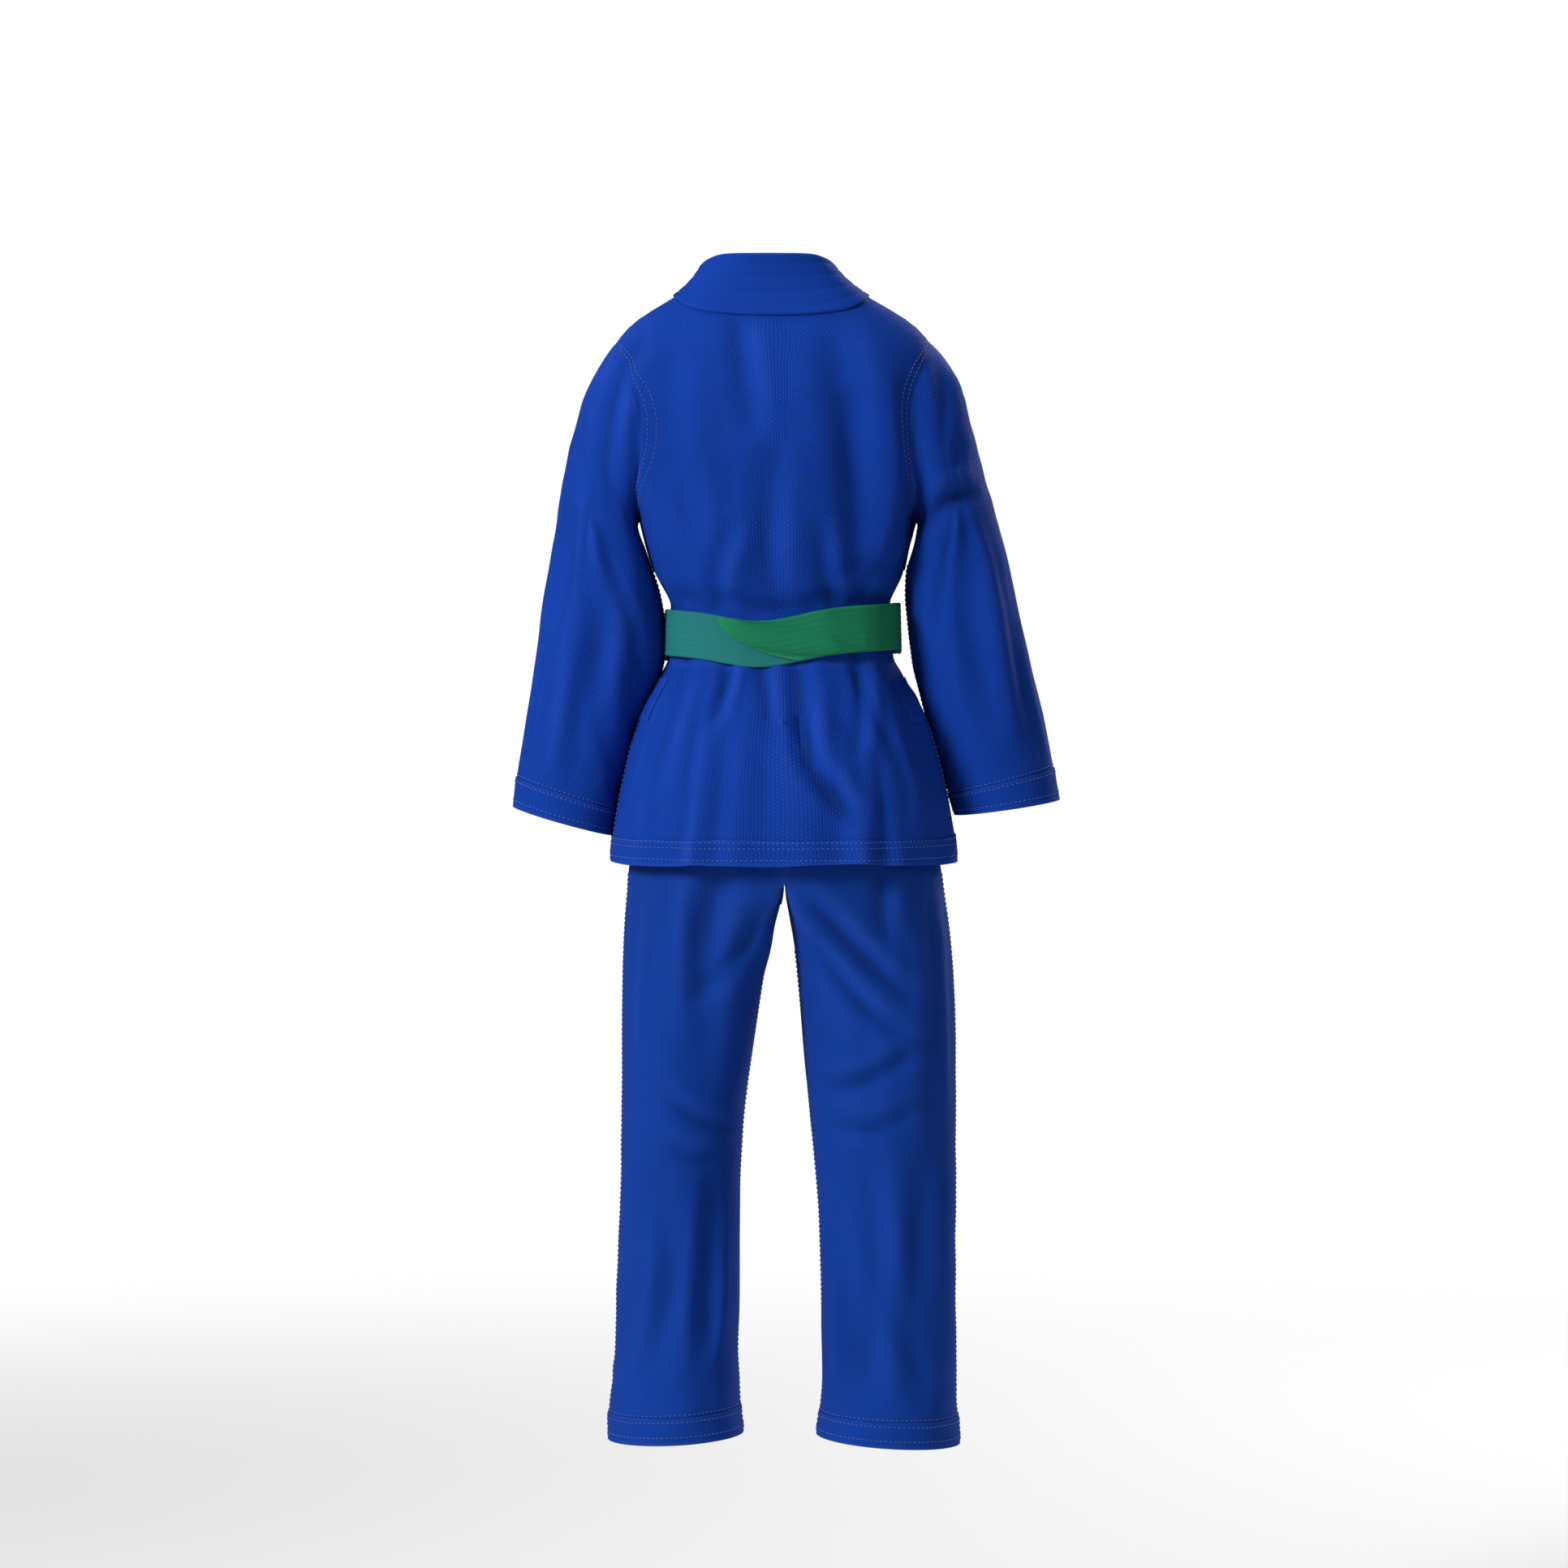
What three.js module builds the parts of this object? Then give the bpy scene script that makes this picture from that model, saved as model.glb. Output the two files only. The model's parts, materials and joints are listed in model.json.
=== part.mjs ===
// A child's training uniform of the judo cut: wrapped jacket, belt and trousers, shaped as worn.
// Heights in this file are measured up from the wearer's heels. The last group moves the origin
// to the base of the neck. +X is the wearer's left, -Y the front, +Z up. Millimetres.
import * as THREE from 'three';
import { mergeVertices } from 'three/addons/utils/BufferGeometryUtils.js';

// ---- Driving dimensions ----
const WALL = 3; // a seamed layer of cloth
const HEM_WALL = 4; // a folded and stitched edge
const PATCH_WALL = 2; // a single reinforcing layer
const SEAM_GAP = 0.5; // clearance between neighbouring pieces
const LAYER_GAP = 3; // clearance between a patch and the curved cloth it covers
const ROUND = 0.8; // exponent of the body outline, 1 would be an ellipse

const NECK_HEIGHT = 1070;
const NECK_CENTRE = 11;
const COLLAR_TOP = 1114;
const COLLAR_TOP_HALF_WIDTH = 58;
const COLLAR_TOP_HALF_DEPTH = 44;
const COLLAR_WALL = 5;
const SHOULDER_HEIGHT = 1036;
const UNDERARM_HEIGHT = 885;
const ARMHOLE_HALF_DEPTH = 54;
const YOKE_DROP = 58;
const YOKE_GAP = 4;
const PANEL_TOP = 1064;

const WAIST_SEAM = 757;
const BELT_HEIGHT = 786;
const BELT_WIDTH = 40;
const BELT_WALL = 3;
const BELT_CLEARANCE = 9.5; // room under the belt for the crossed fronts
const BELT_TILT = 5;
const KNOT_SIZE = [52, 20, 38];
const STRAP_BOTTOM = 560;
const STRAP_SPLAY = 42;

const SKIRT_HEM = 590;
const HEM_BAND = 22;
const VENT_TOP = 735;
const FRONT_OVERLAP = 7; // the left front lies this far outside the right one
const LAPEL_WIDTH = 40;

const CROTCH_HEIGHT = 571;
const LEG_TOP = 592;
const WAISTBAND_TOP = 735;
const WAISTBAND_WIDTH = 30;
const SEAT_HALF_WIDTH = 134;
const GUSSET_HALF_WIDTH = 14;

const JACKET_COLOUR = 0x1c3f96;
const TROUSER_COLOUR = 0x183a8c;
const BELT_COLOUR = 0x23855a;

// ---- Small helpers ----
const vec = (x, y, z) => new THREE.Vector3(x, y, z);
const mix = THREE.MathUtils.lerp;
const clamp = THREE.MathUtils.clamp;

// A smooth function of height through [height, value] stations that run upwards.
function profile(...stations) {
  const slope = (i) => {
    const low = stations[Math.max(i - 1, 0)];
    const high = stations[Math.min(i + 1, stations.length - 1)];
    return (high[1] - low[1]) / (high[0] - low[0]);
  };
  return (height) => {
    const last = stations.length - 2;
    const i = clamp(stations.findIndex((s) => s[0] > height) - 1, 0, last);
    const index = height >= stations[last][0] ? last : i;
    const [h0, v0] = stations[index];
    const [h1, v1] = stations[index + 1];
    const span = h1 - h0;
    const t = clamp((height - h0) / span, 0, 1);
    const tangent0 = slope(index) * span;
    const tangent1 = slope(index + 1) * span;
    const cubic = 2 * (v0 - v1) + tangent0 + tangent1;
    const square = 3 * (v1 - v0) - 2 * tangent0 - tangent1;
    return ((cubic * t + square) * t + tangent0) * t + v0;
  };
}

function outwardNormal(face, across, along) {
  const step = 1e-3;
  const sideways = face(across + step, along).sub(face(across - step, along));
  const onward = face(across, along + step).sub(face(across, along - step));
  return onward.cross(sideways).normalize();
}

// Moves each vertex of a unit block to the cloth: across and along the face, and into its wall.
function shapeToFace(geometry, toCloth, face, wall) {
  geometry.deleteAttribute('normal');
  geometry.deleteAttribute('uv');
  const merged = mergeVertices(geometry, 1e-5);
  const position = merged.attributes.position;
  for (let i = 0; i < position.count; i += 1) {
    const { across, outside, along } = toCloth(vec(position.getX(i), position.getY(i), position.getZ(i)));
    const point = face(across, along);
    const depth = wall * (1 - outside);
    point.addScaledVector(outwardNormal(face, across, along), -depth);
    position.setXYZ(i, point.x, point.y, point.z);
  }
  merged.computeVertexNormals();
  return merged;
}

// A piece of cloth with four edges. face(across, along) is its outer side, both from 0 to 1,
// with across running anticlockwise seen from above and along running down.
function panel(face, acrossSteps, alongSteps, wall = WALL) {
  const block = new THREE.BoxGeometry(1, 1, 1, acrossSteps, 1, alongSteps);
  const toCloth = (p) => ({ across: p.x + 0.5, outside: p.y + 0.5, along: p.z + 0.5 });
  return shapeToFace(block, toCloth, face, wall);
}

// A piece of cloth closed into a ring or a sleeve, with the same face as a panel.
function ring(face, acrossSteps, alongSteps, wall = WALL) {
  const outline = [];
  for (let i = 0; i <= alongSteps; i += 1) {
    outline.push(new THREE.Vector2(2, i / alongSteps));
  }
  for (let i = alongSteps; i >= 0; i -= 1) {
    outline.push(new THREE.Vector2(1, i / alongSteps));
  }
  outline.push(outline[0].clone());
  const turned = new THREE.LatheGeometry(outline, acrossSteps);
  const toCloth = (p) => ({
    across: -Math.atan2(p.x, p.z) / (2 * Math.PI),
    outside: Math.hypot(p.x, p.z) - 1,
    along: p.y,
  });
  return shapeToFace(turned, toCloth, face, wall);
}

// ---- Outlines of the body under the cloth ----
const jacket = {
  centre: profile([590, 0], [760, 2], [860, 5], [905, 6], [1000, 8], [1072, NECK_CENTRE]),
  halfWidth: profile(
    [590, 148], [666, 139], [712, 125], [738, 113], [757, 93], [770, 91], [813, 91], [832, 106],
    [860, 115], [905, 124], [960, 130], [1010, 132], [1036, 128], [1056, 108], [1072, 84],
  ),
  back: profile(
    [590, 110], [666, 104], [712, 96], [738, 85], [757, 66], [770, 65], [813, 65], [832, 77],
    [860, 86], [905, 91], [960, 88], [1010, 74], [1036, 60], [1056, 51], [1072, 46],
  ),
  front: profile(
    [590, 104], [666, 100], [712, 95], [738, 86], [757, 68], [770, 67], [813, 67], [832, 79],
    [860, 88], [905, 93], [960, 92], [1010, 80], [1036, 67], [1056, 59], [1072, 54],
  ),
};

const hips = {
  centre: () => 0,
  halfWidth: profile([560, 135], [600, 133], [660, 118], [700, 97], [735, 84]),
  back: profile([560, 84], [600, 88], [660, 86], [700, 74], [735, 62]),
  front: profile([560, 80], [600, 82], [660, 80], [700, 72], [735, 62]),
};

// Outline angles: 0 is the wearer's left side, a quarter turn is the back.
function outlinePoint(body, angle, height, offset = 0) {
  const c = Math.cos(angle);
  const s = Math.sin(angle);
  const halfDepth = s > 0 ? body.back(height) : body.front(height);
  const x = (body.halfWidth(height) + offset) * Math.sign(c) * Math.abs(c) ** ROUND;
  const y = (halfDepth + offset) * Math.sign(s) * Math.abs(s) ** ROUND;
  return vec(body.centre(height) + x, y, height);
}

// The outline angle on the front at a sideways place.
function frontAngle(body, x, height) {
  const share = clamp((x - body.centre(height)) / body.halfWidth(height), -1, 1);
  return 2 * Math.PI - Math.acos(Math.sign(share) * Math.abs(share) ** (1 / ROUND));
}

// How far the armhole opens round the outline on each side of the shoulder line.
function armholeAngle(body, height) {
  const middle = (SHOULDER_HEIGHT + UNDERARM_HEIGHT) / 2;
  const reach = (SHOULDER_HEIGHT - UNDERARM_HEIGHT) / 2;
  const share = (height - middle) / reach;
  const depth = ARMHOLE_HALF_DEPTH * Math.sqrt(Math.max(0, 1 - share * share));
  return Math.asin(clamp(depth / body(height), 0, 1) ** (1 / ROUND));
}

const edgeAngle = SEAM_GAP / jacket.halfWidth(WAIST_SEAM);

// ---- Jacket above the waist ----
function backFace(across, along) {
  const height = mix(PANEL_TOP, WAIST_SEAM + SEAM_GAP, along);
  const edge = armholeAngle(jacket.back, height) + edgeAngle;
  return outlinePoint(jacket, mix(edge, Math.PI - edge, across), height);
}

// The crossing line of each front: where its lapel's free edge lies at a height.
const crossing = profile([590, 62], [757, 50], [930, 4], [1064, -42]);

// The left front (side 1) crosses to the right and lies outside; side -1 is the right front.
function frontFace(side, top, bottom) {
  return (across, along) => {
    const height = mix(top, bottom, along);
    const outer = side > 0;
    const limit = Math.PI + armholeAngle(jacket.front, height) + edgeAngle;
    const seam = outer ? 3 * Math.PI - limit : limit;
    const lapelEdge = side * (LAPEL_WIDTH + LAYER_GAP - crossing(height));
    const centred = lapelEdge + (outer ? 0 : 2 * jacket.centre(height));
    const furthest = outer ? seam - 0.12 : seam + 0.12;
    const meet = frontAngle(jacket, centred, height);
    const end = outer ? Math.min(meet, furthest) : Math.max(meet, furthest);
    const angle = outer ? mix(end, seam, across) : mix(seam, end, across);
    return outlinePoint(jacket, angle, height, outer ? overlap(angle) : 0);
  };
}

// The outer front rises over the inner one away from its own side seam.
function overlap(angle) {
  const fromSeam = clamp((2 * Math.PI - angle) / 0.4, 0, 1);
  return FRONT_OVERLAP * fromSeam * fromSeam * (3 - 2 * fromSeam);
}

function lapelFace(side, top, bottom) {
  return (across, along) => {
    const height = mix(top, bottom, along);
    const outer = side > 0;
    const free = side * -crossing(height) + (outer ? 0 : 2 * jacket.centre(height));
    const sewn = free + side * LAPEL_WIDTH;
    const x = outer ? mix(free, sewn, across) : mix(sewn, free, across);
    const angle = frontAngle(jacket, x, height);
    return outlinePoint(jacket, angle, height, outer ? FRONT_OVERLAP : 0);
  };
}

function yokeFace(across, along) {
  const angle = mix(0.12, Math.PI - 0.12, across);
  const height = mix(PANEL_TOP - 2, SHOULDER_HEIGHT + 2 - YOKE_DROP * Math.sin(angle) ** 2, along);
  const edge = armholeAngle(jacket.back, height) + 2 * edgeAngle;
  return outlinePoint(jacket, mix(edge, Math.PI - edge, across), height, PATCH_WALL + YOKE_GAP);
}

function collarFace(across, along) {
  const angle = mix(-0.25, Math.PI + 0.25, across);
  const drop = 14 * (1 - Math.sin(clamp(angle, 0, Math.PI)));
  const low = outlinePoint(jacket, angle, PANEL_TOP + 4, 3);
  const c = Math.cos(angle);
  const s = Math.sin(angle);
  const high = vec(NECK_CENTRE + COLLAR_TOP_HALF_WIDTH * c, COLLAR_TOP_HALF_DEPTH * s, COLLAR_TOP - drop);
  return high.lerp(low, along);
}

// ---- Sleeves and legs: tubes between an outer and an inner edge ----
function limbFace({ outer, inner, halfDepth, middle, saddle = 0 }, from, to, offset = 0) {
  const outerEdge = new THREE.CatmullRomCurve3(outer.map(([x, z]) => vec(x, 0, z)));
  const innerEdge = new THREE.CatmullRomCurve3(inner.map(([x, z]) => vec(x, 0, z)));
  const towardsLeft = Math.sign(outer[0][0]);
  return (across, along) => {
    const t = clamp(mix(from, to, along), 0, 1);
    const beyond = mix(from, to, along) - t;
    const o = outerEdge.getPoint(t);
    const i = innerEdge.getPoint(t);
    const centre = o.clone().add(i).multiplyScalar(0.5);
    const arm = o.clone().sub(i).multiplyScalar(0.5 * towardsLeft);
    const angle = across * 2 * Math.PI;
    const c = Math.cos(angle) * (1 + offset / arm.length());
    const s = Math.sin(angle);
    const inwards = saddle * towardsLeft * s * s * Math.max(0, 1 - t * 6);
    const y = middle(t) + (halfDepth(t) + offset) * s;
    return vec(centre.x + arm.x * c - inwards, y, centre.z + arm.z * c - beyond * 400);
  };
}

const sleeveShape = {
  halfDepth: profile([0, 56], [0.25, 54], [0.6, 49], [1, 47]),
  middle: profile([0, 0], [0.4, -4], [1, -12]),
  saddle: 15,
};
const sleeveLeft = {
  ...sleeveShape,
  outer: [[153, SHOULDER_HEIGHT], [184, 941], [205, 842], [223, 737], [236, 634]],
  inner: [[135, UNDERARM_HEIGHT + 3], [129, 835], [130, 770], [138, 690], [156, 611]],
};
const sleeveRight = {
  ...sleeveShape,
  outer: [[-142, SHOULDER_HEIGHT], [-167, 962], [-197, 857], [-220, 750], [-241, 640]],
  inner: [[-124, UNDERARM_HEIGHT + 3], [-115, 835], [-120, 770], [-138, 700], [-172, 626]],
};

const legShape = {
  halfDepth: profile([0, 80], [0.25, 69], [0.5, 61], [0.8, 59], [1, 62]),
  middle: profile([0, 3], [0.5, -2], [1, 0]),
};
const legLeft = {
  ...legShape,
  outer: [[SEAT_HALF_WIDTH, LEG_TOP], [137, 470], [139, 349], [144, 200], [151, 82]],
  inner: [[4, CROTCH_HEIGHT], [24, 455], [36, 349], [39, 208], [33, 88]],
};
const legRight = {
  ...legShape,
  outer: [[-SEAT_HALF_WIDTH, LEG_TOP], [-144, 470], [-145, 349], [-147, 200], [-153, 78]],
  inner: [[-4, CROTCH_HEIGHT], [-22, 440], [-30, 300], [-32, 190], [-27, 86]],
};
const CUFF_START = 0.93;
const HEM_START = 0.95;

// A patch of a limb's face between two angles, such as a knee patch.
function patchFace(limb, from, to, startAngle, endAngle) {
  const face = limbFace(limb, from, to, PATCH_WALL + LAYER_GAP);
  return (across, along) => face(mix(startAngle, endAngle, across) / (2 * Math.PI), along);
}

// The small square let in under the arm, hung between the jacket's side and the sleeve.
function underarmFace(side) {
  return (across, along) => {
    const height = mix(UNDERARM_HEIGHT - 3, UNDERARM_HEIGHT - 43, along);
    const middle = side > 0 ? 0 : Math.PI;
    return outlinePoint(jacket, middle + mix(-0.12, 0.12, across), height, PATCH_WALL + LAYER_GAP);
  };
}

// ---- Belt ----
function beltFace(offset, tilt) {
  return (across, along) => {
    const angle = across * 2 * Math.PI;
    const lift = tilt * Math.sin(angle - 0.6) + BELT_WIDTH * (0.5 - along);
    const point = outlinePoint(jacket, angle, BELT_HEIGHT, offset);
    return point.setZ(BELT_HEIGHT + lift);
  };
}

function knotGeometry() {
  const [width, depth, height] = KNOT_SIZE;
  const corner = 8;
  const outline = new THREE.Shape();
  outline.moveTo(-width / 2 + corner, -height / 2);
  outline.lineTo(width / 2 - corner, -height / 2);
  outline.quadraticCurveTo(width / 2, -height / 2, width / 2, -height / 2 + corner);
  outline.lineTo(width / 2 - corner / 2, height / 2 - corner);
  outline.quadraticCurveTo(width / 2 - corner / 2, height / 2, width / 2 - 2 * corner, height / 2);
  outline.lineTo(-width / 2 + 2 * corner, height / 2);
  outline.quadraticCurveTo(-width / 2 + corner / 2, height / 2, -width / 2 + corner / 2, height / 2 - corner);
  outline.lineTo(-width / 2, -height / 2 + corner);
  outline.quadraticCurveTo(-width / 2, -height / 2, -width / 2 + corner, -height / 2);
  const geometry = new THREE.ExtrudeGeometry(outline, { depth, bevelEnabled: false, curveSegments: 3 });
  return geometry.rotateX(Math.PI / 2);
}

// A hanging end of the belt: falls from the knot in front of the skirts and splays outwards.
function strapFace(side) {
  const forward = profile([STRAP_BOTTOM, 119], [666, 114], [712, 111], [740, 104], [756, 100]);
  return (across, along) => {
    const height = mix(WAIST_SEAM - 1, STRAP_BOTTOM, along);
    const centre = side * (BELT_WIDTH / 2 + 1 + STRAP_SPLAY * along);
    return vec(centre + (across - 0.5) * (BELT_WIDTH - 2), -forward(height), height);
  };
}

// ---- Jacket below the waist ----
function backSkirtFace(top, bottom, offset = 0) {
  return (across, along) => {
    const height = mix(top, bottom, along);
    const edge = edgeAngle + 0.012;
    return outlinePoint(jacket, mix(edge, Math.PI - edge, across), height, offset);
  };
}

function ventPatchFace(side) {
  return (across, along) => {
    const height = mix(VENT_TOP + 10, VENT_TOP - 18, along);
    const start = side > 0 ? 0.03 : Math.PI - 0.21;
    return outlinePoint(jacket, start + 0.18 * across, height, PATCH_WALL + LAYER_GAP);
  };
}

// ---- Trousers ----
function seatFace(startAngle) {
  return (across, along) => {
    const angle = mix(startAngle + edgeAngle, startAngle + Math.PI - edgeAngle, across);
    const sideways = Math.abs(Math.cos(angle)) ** ROUND;
    const bottom = mix(CROTCH_HEIGHT, LEG_TOP, sideways) + SEAM_GAP;
    const top = WAISTBAND_TOP - WAISTBAND_WIDTH - 3 * SEAM_GAP;
    return outlinePoint(hips, angle, mix(top, bottom, along));
  };
}

function waistbandFace(across, along) {
  const height = mix(WAISTBAND_TOP, WAISTBAND_TOP - WAISTBAND_WIDTH, along);
  return outlinePoint(hips, across * 2 * Math.PI, height, 1);
}

function gussetFace(across, along) {
  const y = mix(66, -62, along);
  const narrowing = 1 - 0.8 * Math.abs(2 * along - 1);
  return vec((0.5 - across) * -2 * GUSSET_HALF_WIDTH * narrowing, y, CROTCH_HEIGHT + 9);
}

function loopFace(side) {
  return (across, along) => {
    const height = mix(WAISTBAND_TOP - 5, WAISTBAND_TOP - WAISTBAND_WIDTH + 5, along);
    const angle = 1.5 * Math.PI + side * 0.12 + mix(-0.05, 0.05, across);
    return outlinePoint(hips, angle, height, 1 + PATCH_WALL + LAYER_GAP);
  };
}

// ---- Assembly ----
const finishes = {
  jacket: { color: JACKET_COLOUR, roughness: 0.9, metalness: 0 },
  trousers: { color: TROUSER_COLOUR, roughness: 0.9, metalness: 0 },
  belt: { color: BELT_COLOUR, roughness: 0.8, metalness: 0 },
};

function addPiece(group, name, finish, geometry) {
  const mesh = new THREE.Mesh(geometry, new THREE.MeshStandardMaterial(finishes[finish]));
  mesh.name = name;
  group.add(mesh);
  return mesh;
}

function buildJacket() {
  const group = new THREE.Group();
  const add = (name, geometry) => addPiece(group, name, 'jacket', geometry);
  const hemTop = SKIRT_HEM + HEM_BAND;
  add('back_panel', panel(backFace, 16, 11));
  add('shoulder_yoke', panel(yokeFace, 14, 3, PATCH_WALL));
  add('neck_collar', panel(collarFace, 14, 2, COLLAR_WALL));
  add('back_skirt', panel(backSkirtFace(WAIST_SEAM, hemTop + SEAM_GAP), 16, 6));
  add('back_hem_band', panel(backSkirtFace(hemTop, SKIRT_HEM), 16, 1, HEM_WALL));
  for (const [side, name, sleeve] of [[1, 'left', sleeveLeft], [-1, 'right', sleeveRight]]) {
    add(`front_panel_${name}`, panel(frontFace(side, PANEL_TOP - 4, WAIST_SEAM + SEAM_GAP), 8, 11));
    add(`lapel_${name}`, panel(lapelFace(side, PANEL_TOP, WAIST_SEAM + SEAM_GAP), 3, 11, HEM_WALL));
    add(`front_skirt_${name}`, panel(frontFace(side, WAIST_SEAM, hemTop + SEAM_GAP), 10, 6));
    add(`front_hem_band_${name}`, panel(frontFace(side, hemTop, SKIRT_HEM), 8, 1, HEM_WALL));
    add(`skirt_lapel_${name}`, panel(lapelFace(side, WAIST_SEAM, SKIRT_HEM), 3, 6, HEM_WALL));
    add(`vent_patch_${name}`, panel(ventPatchFace(side), 2, 1, PATCH_WALL));
    add(`underarm_gusset_${name}`, panel(underarmFace(side), 2, 2, PATCH_WALL));
    add(`sleeve_${name}`, ring(limbFace(sleeve, 0, CUFF_START - 0.002), 16, 8));
    add(`cuff_${name}`, ring(limbFace(sleeve, CUFF_START, 1, 1), 16, 1, HEM_WALL));
  }
  return group;
}

function buildBelt() {
  const group = new THREE.Group();
  const add = (name, geometry) => addPiece(group, name, 'belt', geometry);
  const innerWrap = BELT_CLEARANCE + BELT_WALL;
  const outerWrap = innerWrap + BELT_WALL + SEAM_GAP;
  add('belt_inner_wrap', ring(beltFace(innerWrap, BELT_TILT), 28, 1, BELT_WALL));
  add('belt_outer_wrap', ring(beltFace(outerWrap, -BELT_TILT), 28, 1, BELT_WALL));
  const knot = add('belt_knot', knotGeometry());
  knot.position.set(0, -(jacket.front(BELT_HEIGHT) + outerWrap + SEAM_GAP), BELT_HEIGHT);
  add('belt_end_left', panel(strapFace(1), 2, 6, HEM_WALL));
  add('belt_end_right', panel(strapFace(-1), 2, 6, HEM_WALL));
  return group;
}

function buildTrousers() {
  const group = new THREE.Group();
  const add = (name, geometry) => addPiece(group, name, 'trousers', geometry);
  add('waistband', ring(waistbandFace, 24, 1, HEM_WALL));
  add('seat_back', panel(seatFace(0), 14, 4));
  add('seat_front', panel(seatFace(Math.PI), 14, 4));
  add('crotch_gusset', panel(gussetFace, 2, 4, WALL));
  for (const [side, name, leg] of [[1, 'left', legLeft], [-1, 'right', legRight]]) {
    add(`drawstring_loop_${name}`, panel(loopFace(side), 1, 1, PATCH_WALL));
    add(`trouser_leg_${name}`, ring(limbFace(leg, 0, HEM_START - 0.002), 18, 8));
    add(`trouser_hem_${name}`, ring(limbFace(leg, HEM_START, 1, 1), 18, 1, HEM_WALL));
    add(`knee_patch_${name}`, panel(patchFace(leg, 0.36, 0.62, 1.2 * Math.PI, 1.8 * Math.PI), 6, 3, PATCH_WALL));
  }
  return group;
}

const uniform = new THREE.Group();
uniform.add(buildJacket(), buildBelt(), buildTrousers());
uniform.position.z = -NECK_HEIGHT;

export default uniform;
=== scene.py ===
"""A child's training uniform of the judo cut: wrapped jacket, belt and trousers, shaped as worn."""
import json
import math

import bmesh
import bpy
import numpy as np
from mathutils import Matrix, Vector, noise
from mathutils.bvhtree import BVHTree

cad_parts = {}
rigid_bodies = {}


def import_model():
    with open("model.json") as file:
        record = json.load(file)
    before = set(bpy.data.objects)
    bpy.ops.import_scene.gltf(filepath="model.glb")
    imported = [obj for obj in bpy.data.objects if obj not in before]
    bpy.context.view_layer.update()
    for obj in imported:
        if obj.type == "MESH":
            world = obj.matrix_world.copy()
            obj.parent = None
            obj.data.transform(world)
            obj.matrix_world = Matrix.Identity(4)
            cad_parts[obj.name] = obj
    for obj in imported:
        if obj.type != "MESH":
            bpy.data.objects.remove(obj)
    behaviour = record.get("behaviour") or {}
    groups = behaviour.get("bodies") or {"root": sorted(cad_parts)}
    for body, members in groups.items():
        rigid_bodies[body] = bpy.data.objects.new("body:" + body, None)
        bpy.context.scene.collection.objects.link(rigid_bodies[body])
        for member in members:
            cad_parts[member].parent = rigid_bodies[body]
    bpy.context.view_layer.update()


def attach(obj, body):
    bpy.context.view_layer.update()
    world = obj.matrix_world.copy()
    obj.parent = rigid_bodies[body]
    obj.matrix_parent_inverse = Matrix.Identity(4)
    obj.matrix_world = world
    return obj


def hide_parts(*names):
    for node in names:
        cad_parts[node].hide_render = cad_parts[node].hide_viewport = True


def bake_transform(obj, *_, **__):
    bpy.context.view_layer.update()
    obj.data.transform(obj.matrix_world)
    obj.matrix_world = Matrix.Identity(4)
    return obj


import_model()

bl_info = {
    "name": "Training uniform",
    "version": (1, 0, 0),
    "blender": (4, 5, 0),
    "location": "View3D > Sidebar > Uniform",
    "description": "Builds a judo-cut training uniform around its packed solids",
    "category": "Object",
}

# ---- Driving sizes, in millimetres above the wearer's heels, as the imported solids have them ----
NECK_HEIGHT = 1070.0  # the frame's origin
NECK_CENTRE = 11.0
COLLAR_TOP = 1114.0
PANEL_TOP = 1064.0
SHOULDER = 1036.0
UNDERARM = 885.0
ARMHOLE_HALF_DEPTH = 54.0
VENT_TOP = 735.0
WAIST_SEAM = 757.0
BELT_HEIGHT = 786.0
SKIRT_HEM = 591.0
CROTCH = 571.0
LEG_TOP = 592.0
TROUSER_TOP = 735.0
ROUND = 0.8  # exponent of the body outline, 1 would be an ellipse
LAPEL_WIDTH = 40.0
SOFTEN = 10  # half the span, in millimetres, over which outlines are smoothed


def profile(*stations):
    """A smooth function of height through (height, value) stations that run upwards."""
    heights, values = zip(*stations)
    table = np.arange(heights[0], heights[-1] + 1.0)
    kernel = np.hanning(2 * SOFTEN + 3)[1:-1]
    padded = np.pad(np.interp(table, heights, values), SOFTEN, mode="reflect", reflect_type="odd")
    smooth = np.convolve(padded, kernel / kernel.sum(), mode="valid")
    return lambda height: np.interp(height, table, smooth)


class Outline:
    """Width and depth of the body under the cloth at any height."""

    def __init__(self, centre, half_width, back, front):
        self.centre = profile(*centre)
        self.half_width = profile(*half_width)
        self.back = profile(*back)
        self.front = profile(*front)

    def point(self, angle, height, offset=0.0):
        """Angle 0 is the wearer's left side and a quarter turn is the back."""
        c, s = math.cos(angle), math.sin(angle)
        depth = self.back(height) if s > 0 else self.front(height)
        x = (self.half_width(height) + offset) * math.copysign(abs(c) ** ROUND, c)
        y = (depth + offset) * math.copysign(abs(s) ** ROUND, s)
        return np.array([self.centre(height) + x, y, height])


JACKET = Outline(
    centre=[(590, 0), (760, 2), (860, 5), (905, 6), (1000, 8), (1072, NECK_CENTRE)],
    half_width=[
        (590, 156), (666, 142), (712, 127), (738, 114), (757, 95), (770, 91), (811, 91), (832, 106),
        (860, 115), (905, 124), (960, 132), (1010, 138), (1036, 139), (1056, 120), (1070, 93), (1084, 71),
    ],
    back=[
        (590, 108), (666, 103), (712, 95), (738, 85), (757, 70), (770, 65), (811, 65), (832, 77),
        (860, 85), (905, 90), (960, 87), (1010, 74), (1036, 60), (1056, 51), (1072, 46), (1084, 43),
    ],
    front=[
        (590, 103), (666, 99), (712, 94), (738, 86), (757, 72), (770, 67), (811, 67), (832, 79),
        (860, 87), (905, 92), (960, 91), (1010, 80), (1036, 67), (1056, 59), (1072, 54), (1084, 50),
    ],
)
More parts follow.
